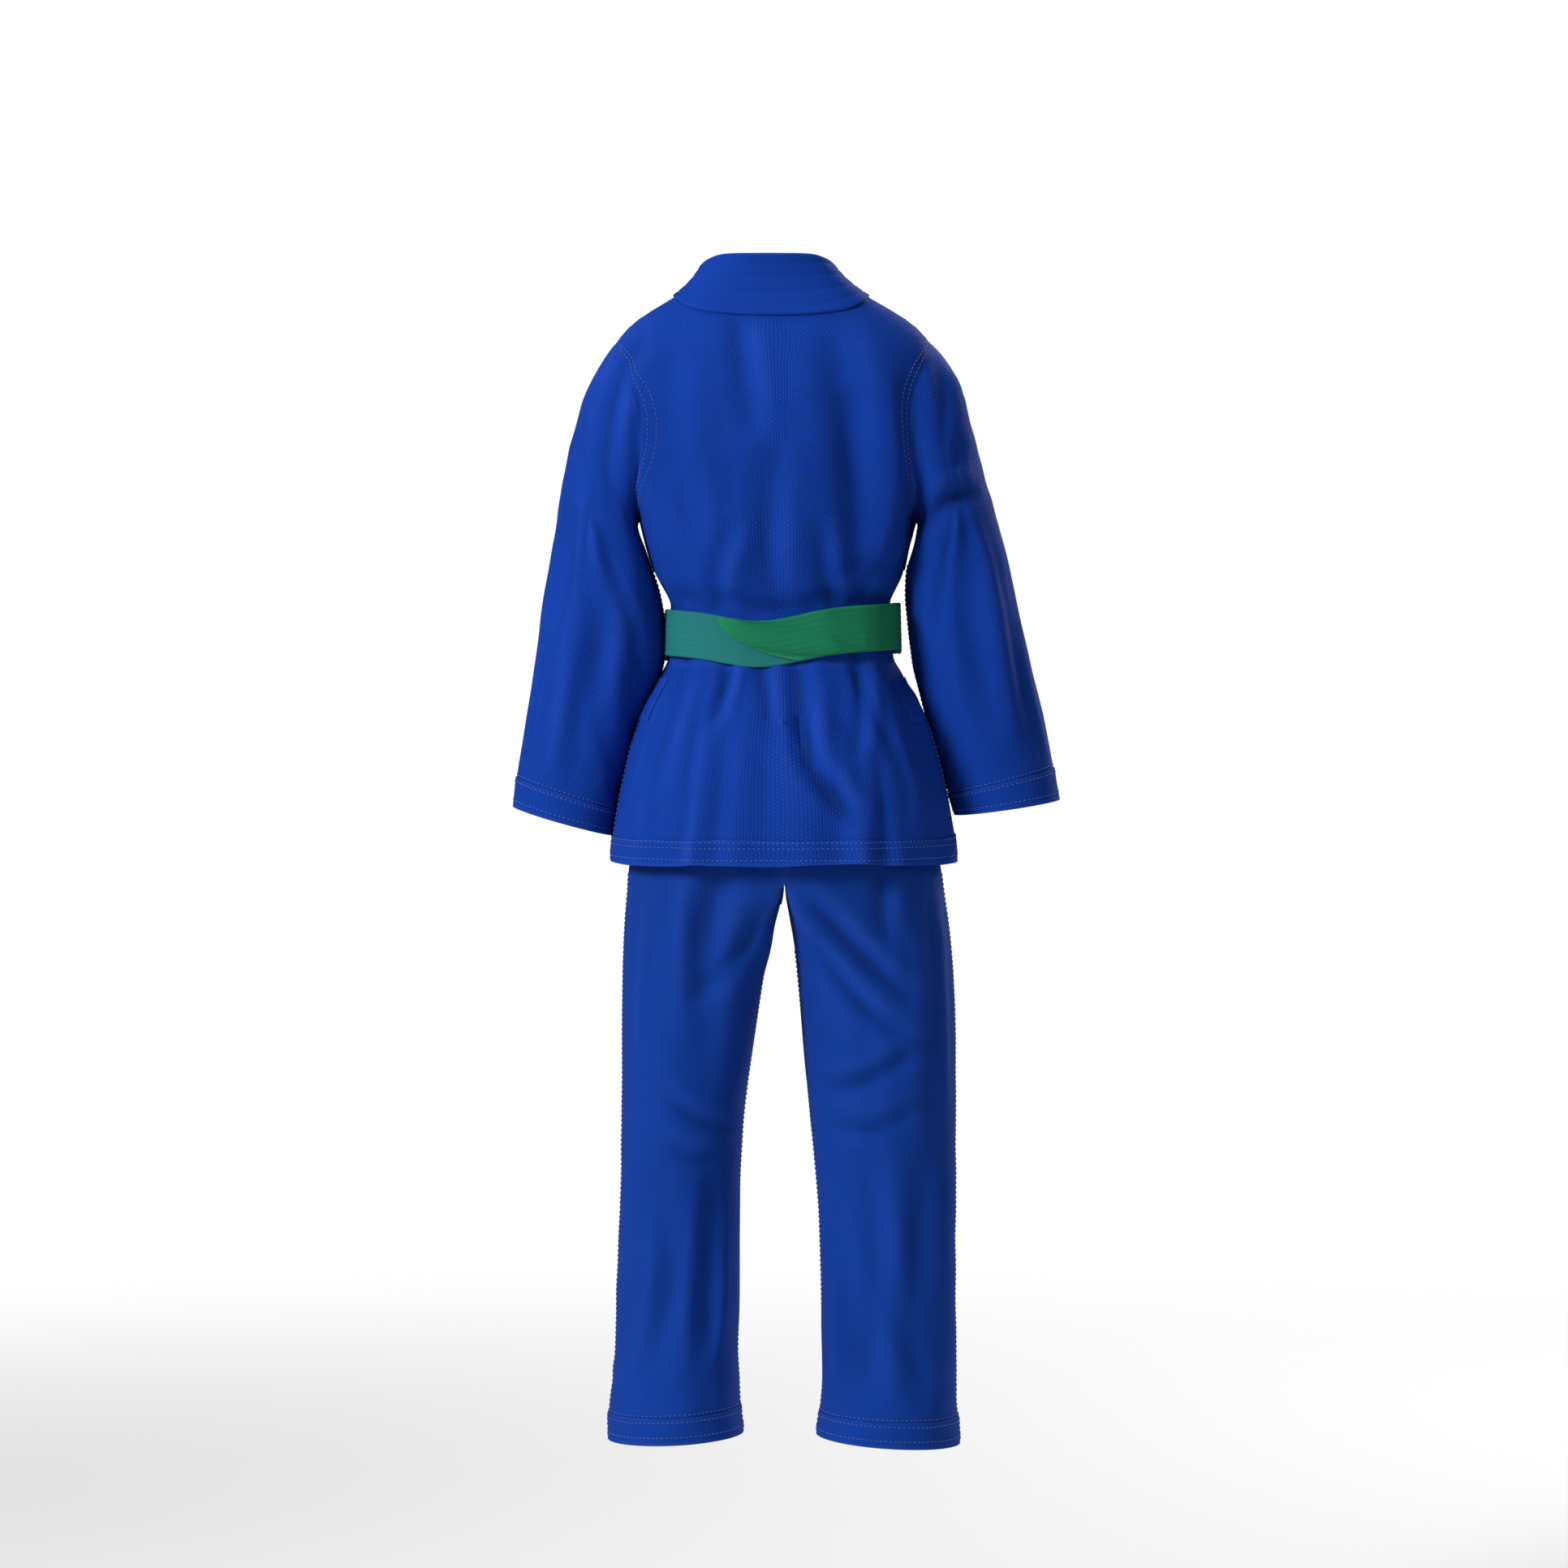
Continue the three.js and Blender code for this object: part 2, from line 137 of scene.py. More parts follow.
HIPS = Outline(
    centre=[(560, 0), (735, 0)],
    half_width=[(560, 135), (600, 133), (660, 118), (700, 97), (735, 84)],
    back=[(560, 84), (600, 88), (660, 86), (700, 74), (735, 62)],
    front=[(560, 80), (600, 82), (660, 80), (700, 72), (735, 62)],
)
crossing = profile((590, 62), (757, 50), (930, 4), (1064, -42))


def spline(points):
    """A smooth curve through the points as a function of 0 to 1."""
    knots = np.array(points, float)
    count = len(knots) - 1
    ends = np.vstack([2 * knots[0] - knots[1], knots, 2 * knots[-1] - knots[-2]])

    def at(t):
        place = min(max(t, 0.0), 1.0) * count
        i = min(int(place), count - 1)
        f = place - i
        p0, p1, p2, p3 = ends[i:i + 4]
        linear = p2 - p0
        square = 2 * p0 - 5 * p1 + 4 * p2 - p3
        cubic = -p0 + 3 * p1 - 3 * p2 + p3
        return 0.5 * (2 * p1 + linear * f + square * f * f + cubic * f * f * f)

    return at


def smoothstep(t):
    t = np.clip(t, 0.0, 1.0)
    return t * t * (3 - 2 * t)


class Limb:
    """A sleeve or a trouser leg, as a tube between its outer and its inner edge."""

    def __init__(self, outer, inner, half_depth, middle):
        self.outer = spline(outer)
        self.inner = spline(inner)
        self.half_depth = spline([[d] for d in half_depth])
        self.middle = spline([[m] for m in middle])

    def point(self, angle, t, offset=0.0):
        """Angle 0 is the outer edge and a quarter turn is the back."""
        o, i = self.outer(t), self.inner(t)
        centre, arm = (o + i) / 2, (o - i) / 2
        grow = 1 + offset / np.linalg.norm(arm)
        x, z = centre + arm * math.cos(angle) * grow
        y = self.middle(t)[0] + (self.half_depth(t)[0] + offset) * math.sin(angle)
        return np.array([x, y, z])


SLEEVES = {
    "left": Limb(
        outer=[(160, SHOULDER), (188, 941), (207, 842), (224, 737), (235, 635)],
        inner=[(135, UNDERARM + 3), (113, 835), (101, 772), (127, 695), (148, 610)],
        half_depth=[56, 54, 50, 48, 47], middle=[0, -2, -5, -9, -12]),
    "right": Limb(
        outer=[(-145, SHOULDER), (-163, 962), (-194, 857), (-219, 750), (-239, 641)],
        inner=[(-124, UNDERARM + 3), (-106, 835), (-110, 770), (-126, 700), (-149, 628)],
        half_depth=[56, 54, 50, 48, 47], middle=[0, -2, -5, -9, -12]),
}
LEGS = {
    "left": Limb(
        outer=[(140, LEG_TOP), (142, 470), (140, 349), (147, 200), (153, 83)],
        inner=[(4, CROTCH), (26, 455), (42, 349), (44, 208), (36, 89)],
        half_depth=[80, 69, 61, 59, 61], middle=[3, 1, -2, -1, 0]),
    "right": Limb(
        outer=[(-142, LEG_TOP), (-150, 470), (-149, 349), (-149, 200), (-153, 79)],
        inner=[(-4, CROTCH), (-16, 440), (-33, 300), (-35, 190), (-29, 87)],
        half_depth=[80, 69, 61, 59, 61], middle=[3, 1, -2, -1, 0]),
}
SIDES = {"left": 1, "right": -1}


def place(points):
    """From millimetres above the heels to metres in the frame."""
    return (np.asarray(points, float) - [0, 0, NECK_HEIGHT]) / 1000


def armhole_angle(depth, height):
    """How far the armhole opens round the outline on each side of the shoulder line."""
    reach = (SHOULDER - UNDERARM) / 2
    share = (height - UNDERARM - reach) / reach
    opening = ARMHOLE_HALF_DEPTH * math.sqrt(max(0.0, 1 - share * share))
    return math.asin(min(1.0, opening / depth) ** (1 / ROUND))


# ---- Nets of cloth, settled by simulation ----
class Net:
    """Quads of cloth: where each point lies, how slack it is cut, how firmly it is held, and
    what share of its fall is taken over."""

    def __init__(self):
        self.points, self.slack, self.hold, self.freedom = [], [], [], []
        self.faces, self.parts, self.uvs = [], [], []

    def add(self, point, slack, hold=0.0, freedom=1.0):
        self.points.append(point)
        self.slack.append(slack)
        self.hold.append(hold)
        self.freedom.append(freedom)
        return len(self.points) - 1

    def quad(self, corners, part, uvs):
        self.faces.append(corners)
        self.parts.append(part)
        self.uvs.extend(uvs)

    def strip(self, upper, lower, part, u0, du, v0, v1):
        """Quads between two rows of points, with the cloth's own places in metres as UV."""
        for k in range(len(upper) - 1):
            a, b = u0 + du * k, u0 + du * (k + 1)
            uvs = [(a, v0), (a, v1), (b, v1), (b, v0)]
            self.quad([upper[k], lower[k], lower[k + 1], upper[k + 1]], part, uvs)

    def build(self, name):
        mesh = bpy.data.meshes.new(name)
        mesh.from_pydata([tuple(p) for p in place(self.points)], [], self.faces)
        layer = mesh.uv_layers.new(name="cloth")
        layer.data.foreach_set("uv", np.array(self.uvs, np.float32).ravel())
        mesh.polygons.foreach_set("material_index", np.array(self.parts, np.int32))
        mesh.polygons.foreach_set("use_smooth", np.ones(len(self.faces), bool))
        mesh.update()
        return link(bpy.data.objects.new(name, mesh))


def link(obj):
    bpy.context.scene.collection.objects.link(obj)
    return obj


def coordinates(mesh):
    co = np.empty(len(mesh.vertices) * 3, np.float32)
    mesh.vertices.foreach_get("co", co)
    return co.reshape(-1, 3).astype(float)


def baked(obj):
    """The object with its modifiers worked into a plain mesh."""
    graph = bpy.context.evaluated_depsgraph_get()
    graph.update()
    mesh = bpy.data.meshes.new_from_object(obj.evaluated_get(graph), depsgraph=graph)
    old = obj.data
    obj.modifiers.clear()
    obj.data = mesh
    mesh.name = obj.name
    bpy.data.meshes.remove(old)
    return obj


def smoothed(points, edges, rounds):
    """Points moved to the mean of their neighbours, round after round."""
    ends = np.concatenate([edges, edges[:, ::-1]])
    count = np.bincount(ends[:, 0], minlength=len(points))[:, None]
    values = points.copy()
    for _ in range(rounds):
        total = np.stack([np.bincount(ends[:, 0], values[ends[:, 1], k], len(points)) for k in range(3)], 1)
        values = 0.5 * values + 0.5 * total / np.maximum(count, 1)
    return values


def mannequin(name, rings):
    """A closed body of rings of points that the cloth can rest on, removed after use."""
    mesh = bpy.data.meshes.new(name)
    work = bmesh.new()
    rows = [[work.verts.new(p) for p in place(ring)] for ring in rings]
    for upper, lower in zip(rows, rows[1:]):
        for k in range(len(upper)):
            n = (k + 1) % len(upper)
            work.faces.new((upper[k], lower[k], lower[n], upper[n]))
    work.faces.new(rows[0])
    work.faces.new(rows[-1][::-1])
    bmesh.ops.recalc_face_normals(work, faces=work.faces)
    work.to_mesh(mesh)
    work.free()
    obj = link(bpy.data.objects.new(name, mesh))
    bump = obj.modifiers.new("body", "COLLISION")
    bump.settings.thickness_outer = 0.002
    bump.settings.cloth_friction = 20
    return obj


def settle(obj, net, frames, stiffness, bending):
    """Lets the cloth fall into its folds, and keeps its outline: only the folds are taken over."""
    start = coordinates(obj.data)
    obj.shape_key_add(name="Basis")
    slack = obj.shape_key_add(name="slack")
    slack.data.foreach_set("co", place(net.slack).astype(np.float32).ravel())
    held = obj.vertex_groups.new(name="held")
    for i, weight in enumerate(net.hold):
        if weight > 0:
            held.add([i], weight, "REPLACE")
    cloth = obj.modifiers.new("cloth", "CLOTH")
    cloth.settings.quality = 6
    cloth.settings.mass = 0.25
    cloth.settings.air_damping = 2.0
    cloth.settings.tension_stiffness = stiffness
    cloth.settings.compression_stiffness = stiffness
    cloth.settings.shear_stiffness = stiffness / 3
    cloth.settings.bending_stiffness = bending
    cloth.settings.vertex_group_mass = "held"
    cloth.settings.rest_shape_key = slack
    cloth.collision_settings.distance_min = 0.003
    cloth.point_cache.frame_start = 1
    cloth.point_cache.frame_end = frames
    scene = bpy.context.scene
    for step in range(1, frames + 1):
        scene.frame_set(step)
    graph = bpy.context.evaluated_depsgraph_get()
    settled = coordinates(obj.evaluated_get(graph).data)
    scene.frame_set(1)
    obj.modifiers.clear()
    obj.shape_key_clear()
    edges = np.array([e.vertices[:] for e in obj.data.edges])
    moved = settled - start
    drift = smoothed(moved, edges, OUTLINE_ROUNDS)
    return start + (moved - DRIFT_TAKEN_BACK * drift) * np.array(net.freedom)[:, None]


OUTLINE_ROUNDS = 160
DRIFT_TAKEN_BACK = 0.75


def crumple(point, seed, size, depth):
    """A small seeded unevenness, so that folds can start."""
    shift = noise.noise_vector(Vector(point) / size + Vector((seed, 2.1 * seed, 0)))
    return np.array(point) + np.array(shift) * depth


# ---- The jacket's net ----
PARTS = ["back", "front", "back_skirt", "front_skirt", "sleeve_left", "sleeve_right"]


def loose(height):
    """How far the jacket would stand off at the waist without its belt."""
    return 17 * math.exp(-((height - 784) / 52) ** 2)


def gathered(angle, height):
    """How far the cloth stands off under the belt, with the small pleats that it is drawn into."""
    share = math.exp(-((height - BELT_HEIGHT) / 24) ** 2)
    pleats = math.sin(31 * angle) + 0.6 * math.sin(47 * angle + 1.3)
    return share * (6 + pleats * (0.4 if math.sin(angle) < 0 else 1.0))


def shoulder_rise(angle, height):
    """The top edge climbs towards the neck's sides, where the shoulder lines meet the collar."""
    return SHOULDER_CLIMB * math.cos(angle) ** 2 * smoothstep((height - SHOULDER + 6) / 34)


SHOULDER_CLIMB = 20.0


def jacket_net(sizes):
    net = Net()
    pitch = sizes.pitch * 1000
    rows = round((PANEL_TOP - SKIRT_HEM) / pitch)
    columns = sizes.columns
    heights = np.linspace(PANEL_TOP, SKIRT_HEM, rows + 1)
    back, front = [], []
    for height in heights:
        belted = abs(height - BELT_HEIGHT) < 20
        hold = 1.0 if belted or height > SHOULDER - 12 else 0.0
        armhole = UNDERARM < height < SHOULDER
        vented = height < VENT_TOP
        slack_z = height * sizes.slack_length

        def add(angle):
            at = height + shoulder_rise(angle, height)
            point = JACKET.point(angle, at, gathered(angle, height))
            loosely = JACKET.point(angle, at, loose(height) + sizes.slack_width)
            spare = [*loosely[:2], slack_z + (at - height)]
            return net.add(crumple(point, 1.0, 26, 0.0 if hold else 1.6), spare, hold)

        back_edge = armhole_angle(JACKET.back(height), height) if armhole else 0.012 * vented
        front_edge = armhole_angle(JACKET.front(height), height) if armhole else 0.012 * vented
        back_row = [add(back_edge + (math.pi - 2 * back_edge) * j / columns) for j in range(columns + 1)]
        front_row = []
        for j in range(columns + 1):
            if j in (0, columns) and not (armhole or vented):
                front_row.append(back_row[columns if j == 0 else 0])
                continue
            front_row.append(add(math.pi + front_edge + (math.pi - 2 * front_edge) * j / columns))
        back.append(back_row)
        front.append(front_row)
    around = 0.36 / columns
    for r in range(rows):
        skirt = (heights[r] + heights[r + 1]) / 2 < WAIST_SEAM
        v0, v1 = heights[r] / 1000, heights[r + 1] / 1000
        net.strip(back[r], back[r + 1], 2 if skirt else 0, 0.0, around, v0, v1)
        net.strip(front[r], front[r + 1], 3 if skirt else 1, 0.36, around, v0, v1)
    inside = [r for r, height in enumerate(heights) if UNDERARM < height < SHOULDER]
    top, bottom = inside[0] - 1, inside[-1] + 1
    for name, side in SIDES.items():
        near_back = 0 if side > 0 else columns
        near_front = columns if side > 0 else 0
        ring = [back[r][near_back] for r in range(top, bottom + 1)]
        ring += [front[r][near_front] for r in range(bottom - 1, top, -1)]
        sleeve_net(net, ring, SLEEVES[name], 4 if side > 0 else 5, side, sizes)
    return net


def sleeve_net(net, ring, limb, part, side, sizes):
    """Grows a sleeve from the armhole's ring of points, which runs down the back first."""
    count = len(ring)
    start = np.array([net.points[i] for i in ring])
    spaced = [2 * math.pi * k / count for k in range(count)]
    reach = (SHOULDER - UNDERARM) / 2
    share = np.clip((start[:, 2] - UNDERARM - reach) / reach, -1, 1)
    opening = np.arccos(share)
    opening[count // 2 + 1:] = 2 * math.pi - opening[count // 2 + 1:]
    rows = round(400 / (sizes.pitch * 1000))
    before = ring
    for r in range(1, rows + 1):
        t = r / rows
        spread = smoothstep(t / 0.22)
        join = smoothstep(t / 0.13)
        row = []
        for k in range(count):
            angle = opening[k] + (spaced[k] - opening[k]) * spread
            on_shoulder = max(0.0, math.cos(angle)) * max(0.0, 1 - t / 0.3)
            hold = 1.0 if t > 0.93 else 0.9 * on_shoulder
            free = limb.point(angle, t)
            point = start[k] * (1 - join) + free * join
            wide = limb.point(angle, t, sizes.slack_width)
            slack = start[k] * (1 - join) + wide * join
            slack[2] = SHOULDER * sizes.slack_length - (SHOULDER - slack[2]) * sizes.slack_sleeve
            freedom = 0.12 + 0.88 * smoothstep((t - 0.16) / 0.26)
            row.append(net.add(crumple(point, 3.0 + side, 24, 1.5 * (1 - hold)), slack, hold, freedom))
        v0, v1 = (1.0 - 0.4 * (r - 1) / rows), (1.0 - 0.4 * r / rows)
        upper, lower = [*before, before[0]], [*row, row[0]]
        if side < 0:
            upper, lower = upper[::-1], lower[::-1]
        net.strip(upper, lower, part, 0.0, 0.32 / count, v0, v1)
        before = row


def trunk_rings(outline, heights, inset, steps=32):
    turn = [2 * math.pi * k / steps for k in range(steps)]
    return [[outline.point(a, h, -inset(h)) for a in turn] for h in heights]


def limb_rings(limb, stations, inset, steps=20):
    turn = [2 * math.pi * k / steps for k in range(steps)]
    return [[limb.point(a, t, -inset) for a in turn] for t in stations]


# ---- The trousers' net: one leg with its half of the seat ----
def off_seam(k, outer):
    """0 on the seat seam and the crotch, growing to 1 a few columns away."""
    return min(1.0, max(0, min(k, outer - k)) / 5)


def trousers_net(name, sizes):
    side, limb = SIDES[name], LEGS[name]
    net = Net()
    pitch = sizes.pitch * 1000
    outer = round(250 / pitch)
    inner = round(150 / pitch)
    seat_rows = round((TROUSER_TOP - CROTCH) / pitch)
    quarter = math.pi / 2
    sweep = [quarter - 2 * quarter * k / outer for k in range(outer + 1)]
    before = None
    for r in range(seat_rows + 1):
        row = []
        for k, angle in enumerate(sweep):
            about = angle if side > 0 else math.pi - angle
            low = CROTCH + (LEG_TOP - CROTCH) * math.cos(angle) ** ROUND
            height = TROUSER_TOP + (low - TROUSER_TOP) * r / seat_rows
            point = HIPS.point(about, height)
            hold = 1.0 if height > TROUSER_TOP - 30 or k in (0, outer) else 0.0
            slack = [point[0] * 1.02, point[1] * 1.02, height * sizes.slack_length]
            start_at = crumple(point, 5.0 + side, 30, 0.0 if hold else 1.2)
            row.append(net.add(start_at, slack, hold, off_seam(k, outer)))
        if before:
            v0, v1 = -(r - 1) * pitch / 1000, -r * pitch / 1000
            upper, lower = (before[::-1], row[::-1]) if side > 0 else (before, row)
            net.strip(upper, lower, 0, 0.0, 0.25 / outer, v0, v1)
        before = row
    for k in range(1, inner):
        share = k / inner
        y = -HIPS.front(CROTCH) + (HIPS.back(CROTCH) + HIPS.front(CROTCH)) * share
        sag = 6 * math.sin(math.pi * share)
        point = np.array([side * 1.0, y, CROTCH + sag])
        before.append(net.add(point, [point[0], y * 1.02, point[2] * sizes.slack_length], 1.0, 0.0))
    count = len(before)
    start = np.array([net.points[i] for i in before])
    swing = 0.72 * math.pi
    spaced = [swing - 2 * swing * k / outer for k in range(outer + 1)]
    spaced += [-swing - (2 * math.pi - 2 * swing) * k / inner for k in range(1, inner)]
    rows = round(490 / pitch)
    for r in range(1, rows + 1):
        t = r / rows
        join = smoothstep(t / 0.16)
        hold = 0.5 if t > 0.975 else 0.0
        below = smoothstep(t / 0.12)
        row = []
        for k in range(count):
            free = limb.point(spaced[k], t)
            drop = start[k] - [0, 0, (start[k][2] - free[2])]
            point = drop * (1 - join) + free * join
            wide = limb.point(spaced[k], t, sizes.slack_width) - point
            slack = point + wide * join
            slack[2] = LEG_TOP * sizes.slack_length - (LEG_TOP - slack[2]) * sizes.slack_leg
            start_at = crumple(point, 7.0 + side, 30, 0.0 if hold else 1.6)
            apart = off_seam(k, outer)
            freedom = (1 - 0.92 * smoothstep((t - 0.76) / 0.18)) * (apart + (1 - apart) * below)
            row.append(net.add(start_at, slack, hold, freedom))
        v0, v1 = -0.2 - 0.49 * (r - 1) / rows, -0.2 - 0.49 * r / rows
        upper, lower = [*before, before[0]], [*row, row[0]]
        if side > 0:
            upper, lower = upper[::-1], lower[::-1]
        net.strip(upper, lower, 0, 0.0, 0.4 / count, v0, v1)
        before = row
    return net


# ---- From a net to finished cloth ----
class Cloth:
    """The settled net, with what is needed to cut pieces from it and to lay trims on it."""

    def __init__(self, obj, levels):
        finer = obj.modifiers.new("finer", "SUBSURF")
        finer.levels = finer.render_levels = levels
        finer.uv_smooth = "NONE"
        self.obj = baked(obj)
        self.read()

    def read(self):
        mesh = self.obj.data
        self.points = coordinates(mesh) * 1000 + [0, 0, NECK_HEIGHT]
        normals = np.empty(len(mesh.vertices) * 3, np.float32)
        mesh.vertex_normals.foreach_get("vector", normals)
        self.normals = normals.reshape(-1, 3).astype(float)
        corners = np.empty(len(mesh.loops), np.int32)
        mesh.loops.foreach_get("vertex_index", corners)
        uvs = np.empty(len(mesh.loops) * 2, np.float32)
        mesh.uv_layers["cloth"].data.foreach_get("uv", uvs)
        self.uvs = np.zeros((len(mesh.vertices), 2))
        self.uvs[corners] = uvs.reshape(-1, 2)
        self.quads = corners.reshape(-1, 4)
        self.face_uvs = uvs.reshape(-1, 4, 2).mean(1)
        self.centres = self.points[self.quads].mean(1)
        parts = np.empty(len(mesh.polygons), np.int32)
        mesh.polygons.foreach_get("material_index", parts)
        self.parts = parts

    def write(self):
        self.obj.data.vertices.foreach_set("co", place(self.points).astype(np.float32).ravel())
        self.obj.data.update()
        self.read()

    def push(self, amount):
        """Moves each point along the cloth's normal by its own amount in millimetres."""
        self.points = self.points + self.normals * amount[:, None]
        self.write()

    def tree(self):
        return BVHTree.FromPolygons([tuple(p) for p in place(self.points)], self.quads.tolist())

    def cut(self, name, chosen, rise=0.0):
        """The chosen faces as a piece of their own, lifted off this cloth by rise millimetres."""
        used = np.unique(self.quads[chosen])
        number = np.full(len(self.points), -1)
        number[used] = np.arange(len(used))
        mesh = bpy.data.meshes.new(name)
        lifted = self.points[used] + self.normals[used] * rise
        mesh.from_pydata([tuple(p) for p in place(lifted)], [], number[self.quads[chosen]].tolist())
        layer = mesh.uv_layers.new(name="cloth")
        loops = np.empty(len(self.obj.data.loops) * 2, np.float32)
        self.obj.data.uv_layers["cloth"].data.foreach_get("uv", loops)
        layer.data.foreach_set("uv", loops.reshape(-1, 4, 2)[chosen].ravel())
        mesh.update()
        return link(bpy.data.objects.new(name, mesh))


def fold_push(points, facing, folds):
    """Millimetres in or out for folds given as a path of (x, height), a depth and a width."""
    amount = np.zeros(len(points))
    flat = points[:, [0, 2]]
    seen = np.clip(facing * points[:, 1] / 12, 0, 1)
    for path, depth, width in folds:
        curve = spline(path)
        stops = np.array([curve(i / FOLD_STEPS) for i in range(FOLD_STEPS + 1)])
        nearest = np.full(len(points), 1e6)
        side = np.zeros(len(points))
        progress = np.zeros(len(points))
        for i, (a, b) in enumerate(zip(stops, stops[1:])):
            along = b - a
            t = np.clip((flat - a) @ along / (along @ along), 0, 1)
            gap = flat - a - t[:, None] * along
            distance = np.hypot(gap[:, 0], gap[:, 1])
            closer = distance < nearest
            nearest = np.where(closer, distance, nearest)
            side = np.where(closer, np.sign(gap[:, 0] * along[1] - gap[:, 1] * along[0]), side)
            progress = np.where(closer, (i + t) / (len(stops) - 1), progress)
        signed = nearest * side
        fade = np.sin(math.pi * progress) ** 0.8
        valley = np.exp(-(nearest / width) ** 2)
        lip = np.exp(-((signed - 1.7 * width) / (1.1 * width)) ** 2)
        amount += seen * fade * depth * (0.55 * lip - valley)
    return amount


FOLD_STEPS = 18


def wall(obj, thickness):
    """Gives the cloth its thickness, inwards."""
    mod = obj.modifiers.new("wall", "SOLIDIFY")
    mod.thickness = thickness / 1000
    mod.offset = -1
    mod.use_even_offset = False
    return baked(obj)


def finish_piece(obj, material, sharp=50):
    """Smooth shading, the material, and the attribute that painted shade in hollows and wear with painted highlight on
    crests follow: crests and hollows.
    """
    mesh = obj.data
    mesh.materials.clear()
    mesh.materials.append(material)
    mesh.polygons.foreach_set("material_index", np.zeros(len(mesh.polygons), np.int32))
    mesh.polygons.foreach_set("use_smooth", np.ones(len(mesh.polygons), bool))
    mesh.set_sharp_from_angle(angle=math.radians(sharp))
    points = coordinates(mesh)
    edges = np.empty(len(mesh.edges) * 2, np.int32)
    mesh.edges.foreach_get("vertices", edges)
    normals = np.empty(len(mesh.vertices) * 3, np.float32)
    mesh.vertex_normals.foreach_get("vector", normals)
    # Crests score above 0.5 and hollows below it; the material paints shade in hollows and highlight with wear on
    # crests from this.
    broad = smoothed(points, edges.reshape(-1, 2), CREST_ROUNDS)
    crest = np.einsum("ij,ij->i", points - broad, normals.reshape(-1, 3)) * 1000
    attribute = mesh.attributes.new("crest", "FLOAT", "POINT")
    attribute.data.foreach_set("value", np.clip(0.5 + crest * 0.3, 0, 1).astype(np.float32))
    mesh.update()
    return obj


CREST_ROUNDS = 6


def cut_area(net, parts):
    """Flat area in square metres of the faces of these parts, as they are cut."""
    points = np.array(net.points, float)
    chosen = np.array([f for f, p in zip(net.faces, net.parts) if p in parts])
    across = points[chosen[:, 2]] - points[chosen[:, 0]]
    other = points[chosen[:, 3]] - points[chosen[:, 1]]
    return float(np.linalg.norm(np.cross(across, other), axis=1).sum() / 2e6)


# ---- Jacket ----
MADE = {}
BACK_FOLDS = [
    ([(-9, 794), (-12, 724), (-22, 678), (-40, 650), (-66, 622)], 8.0, 9.5),
    ([(46, 788), (52, 744), (68, 700)], 5.5, 6.5),
    ([(16, 788), (18, 744), (8, 690)], 3.6, 6.5),
    ([(-56, 788), (-66, 740), (-62, 680)], 5.4, 7.0),
    ([(-82, 788), (-106, 728), (-134, 640)], 7.0, 8.5),
    ([(80, 788), (98, 728), (122, 640)], 6.0, 8.5),
    ([(-34, 1050), (-56, 980), (-64, 900), (-62, 806)], 12.0, 18.0),
    ([(44, 1062), (38, 1018), (26, 950)], 5.0, 11.0),
    ([(104, 1040), (100, 940), (70, 812)], 7.5, 15.0),
    ([(6, 960), (18, 870), (8, 800)], 5.0, 12.0),
    ([(-28, 890), (-34, 842), (-42, 802)], 4.4, 9.0),
    ([(44, 890), (60, 840), (56, 802)], 5.0, 9.0),
    ([(-104, 1010), (-112, 910), (-90, 812)], 7.0, 12.0),
]
FRONT_FOLDS = [
    ([(-56, 786), (-66, 720), (-78, 630)], 5.0, 9.0),
    ([(60, 786), (72, 720), (88, 640)], 5.0, 9.0),
    ([(92, 784), (112, 716), (122, 650)], 4.0, 8.0),
    ([(-92, 784), (-112, 720), (-124, 640)], 4.0, 8.0),
    ([(96, 1020), (100, 930), (76, 830)], 5.0, 15.0),
    ([(-92, 1010), (-92, 920), (-70, 830)], 5.0, 15.0),
    ([(34, 900), (40, 850), (34, 802)], 3.4, 10.0),
    ([(-36, 890), (-46, 846), (-38, 802)], 3.4, 10.0),
]


SLEEVE_FOLDS = [
    ([(120, 1052), (146, 1000), (152, 940), (142, 880)], 6.0, 9.0),
    ([(186, 990), (196, 910), (186, 820), (196, 720)], 5.0, 13.0),
    ([(150, 880), (158, 800), (176, 720), (186, 630)], 5.0, 13.0),
    ([(214, 800), (208, 740), (220, 660)], 3.4, 10.0),
    ([(-116, 876), (-144, 902), (-178, 912)], 4.6, 9.5),
    ([(-126, 1050), (-140, 990), (-138, 920)], 5.0, 9.0),
    ([(-176, 985), (-182, 940), (-168, 900)], 4.5, 9.0),
    ([(-146, 880), (-156, 790), (-178, 690)], 5.5, 14.0),
    ([(-196, 850), (-206, 760), (-214, 660)], 4.5, 12.0),
]


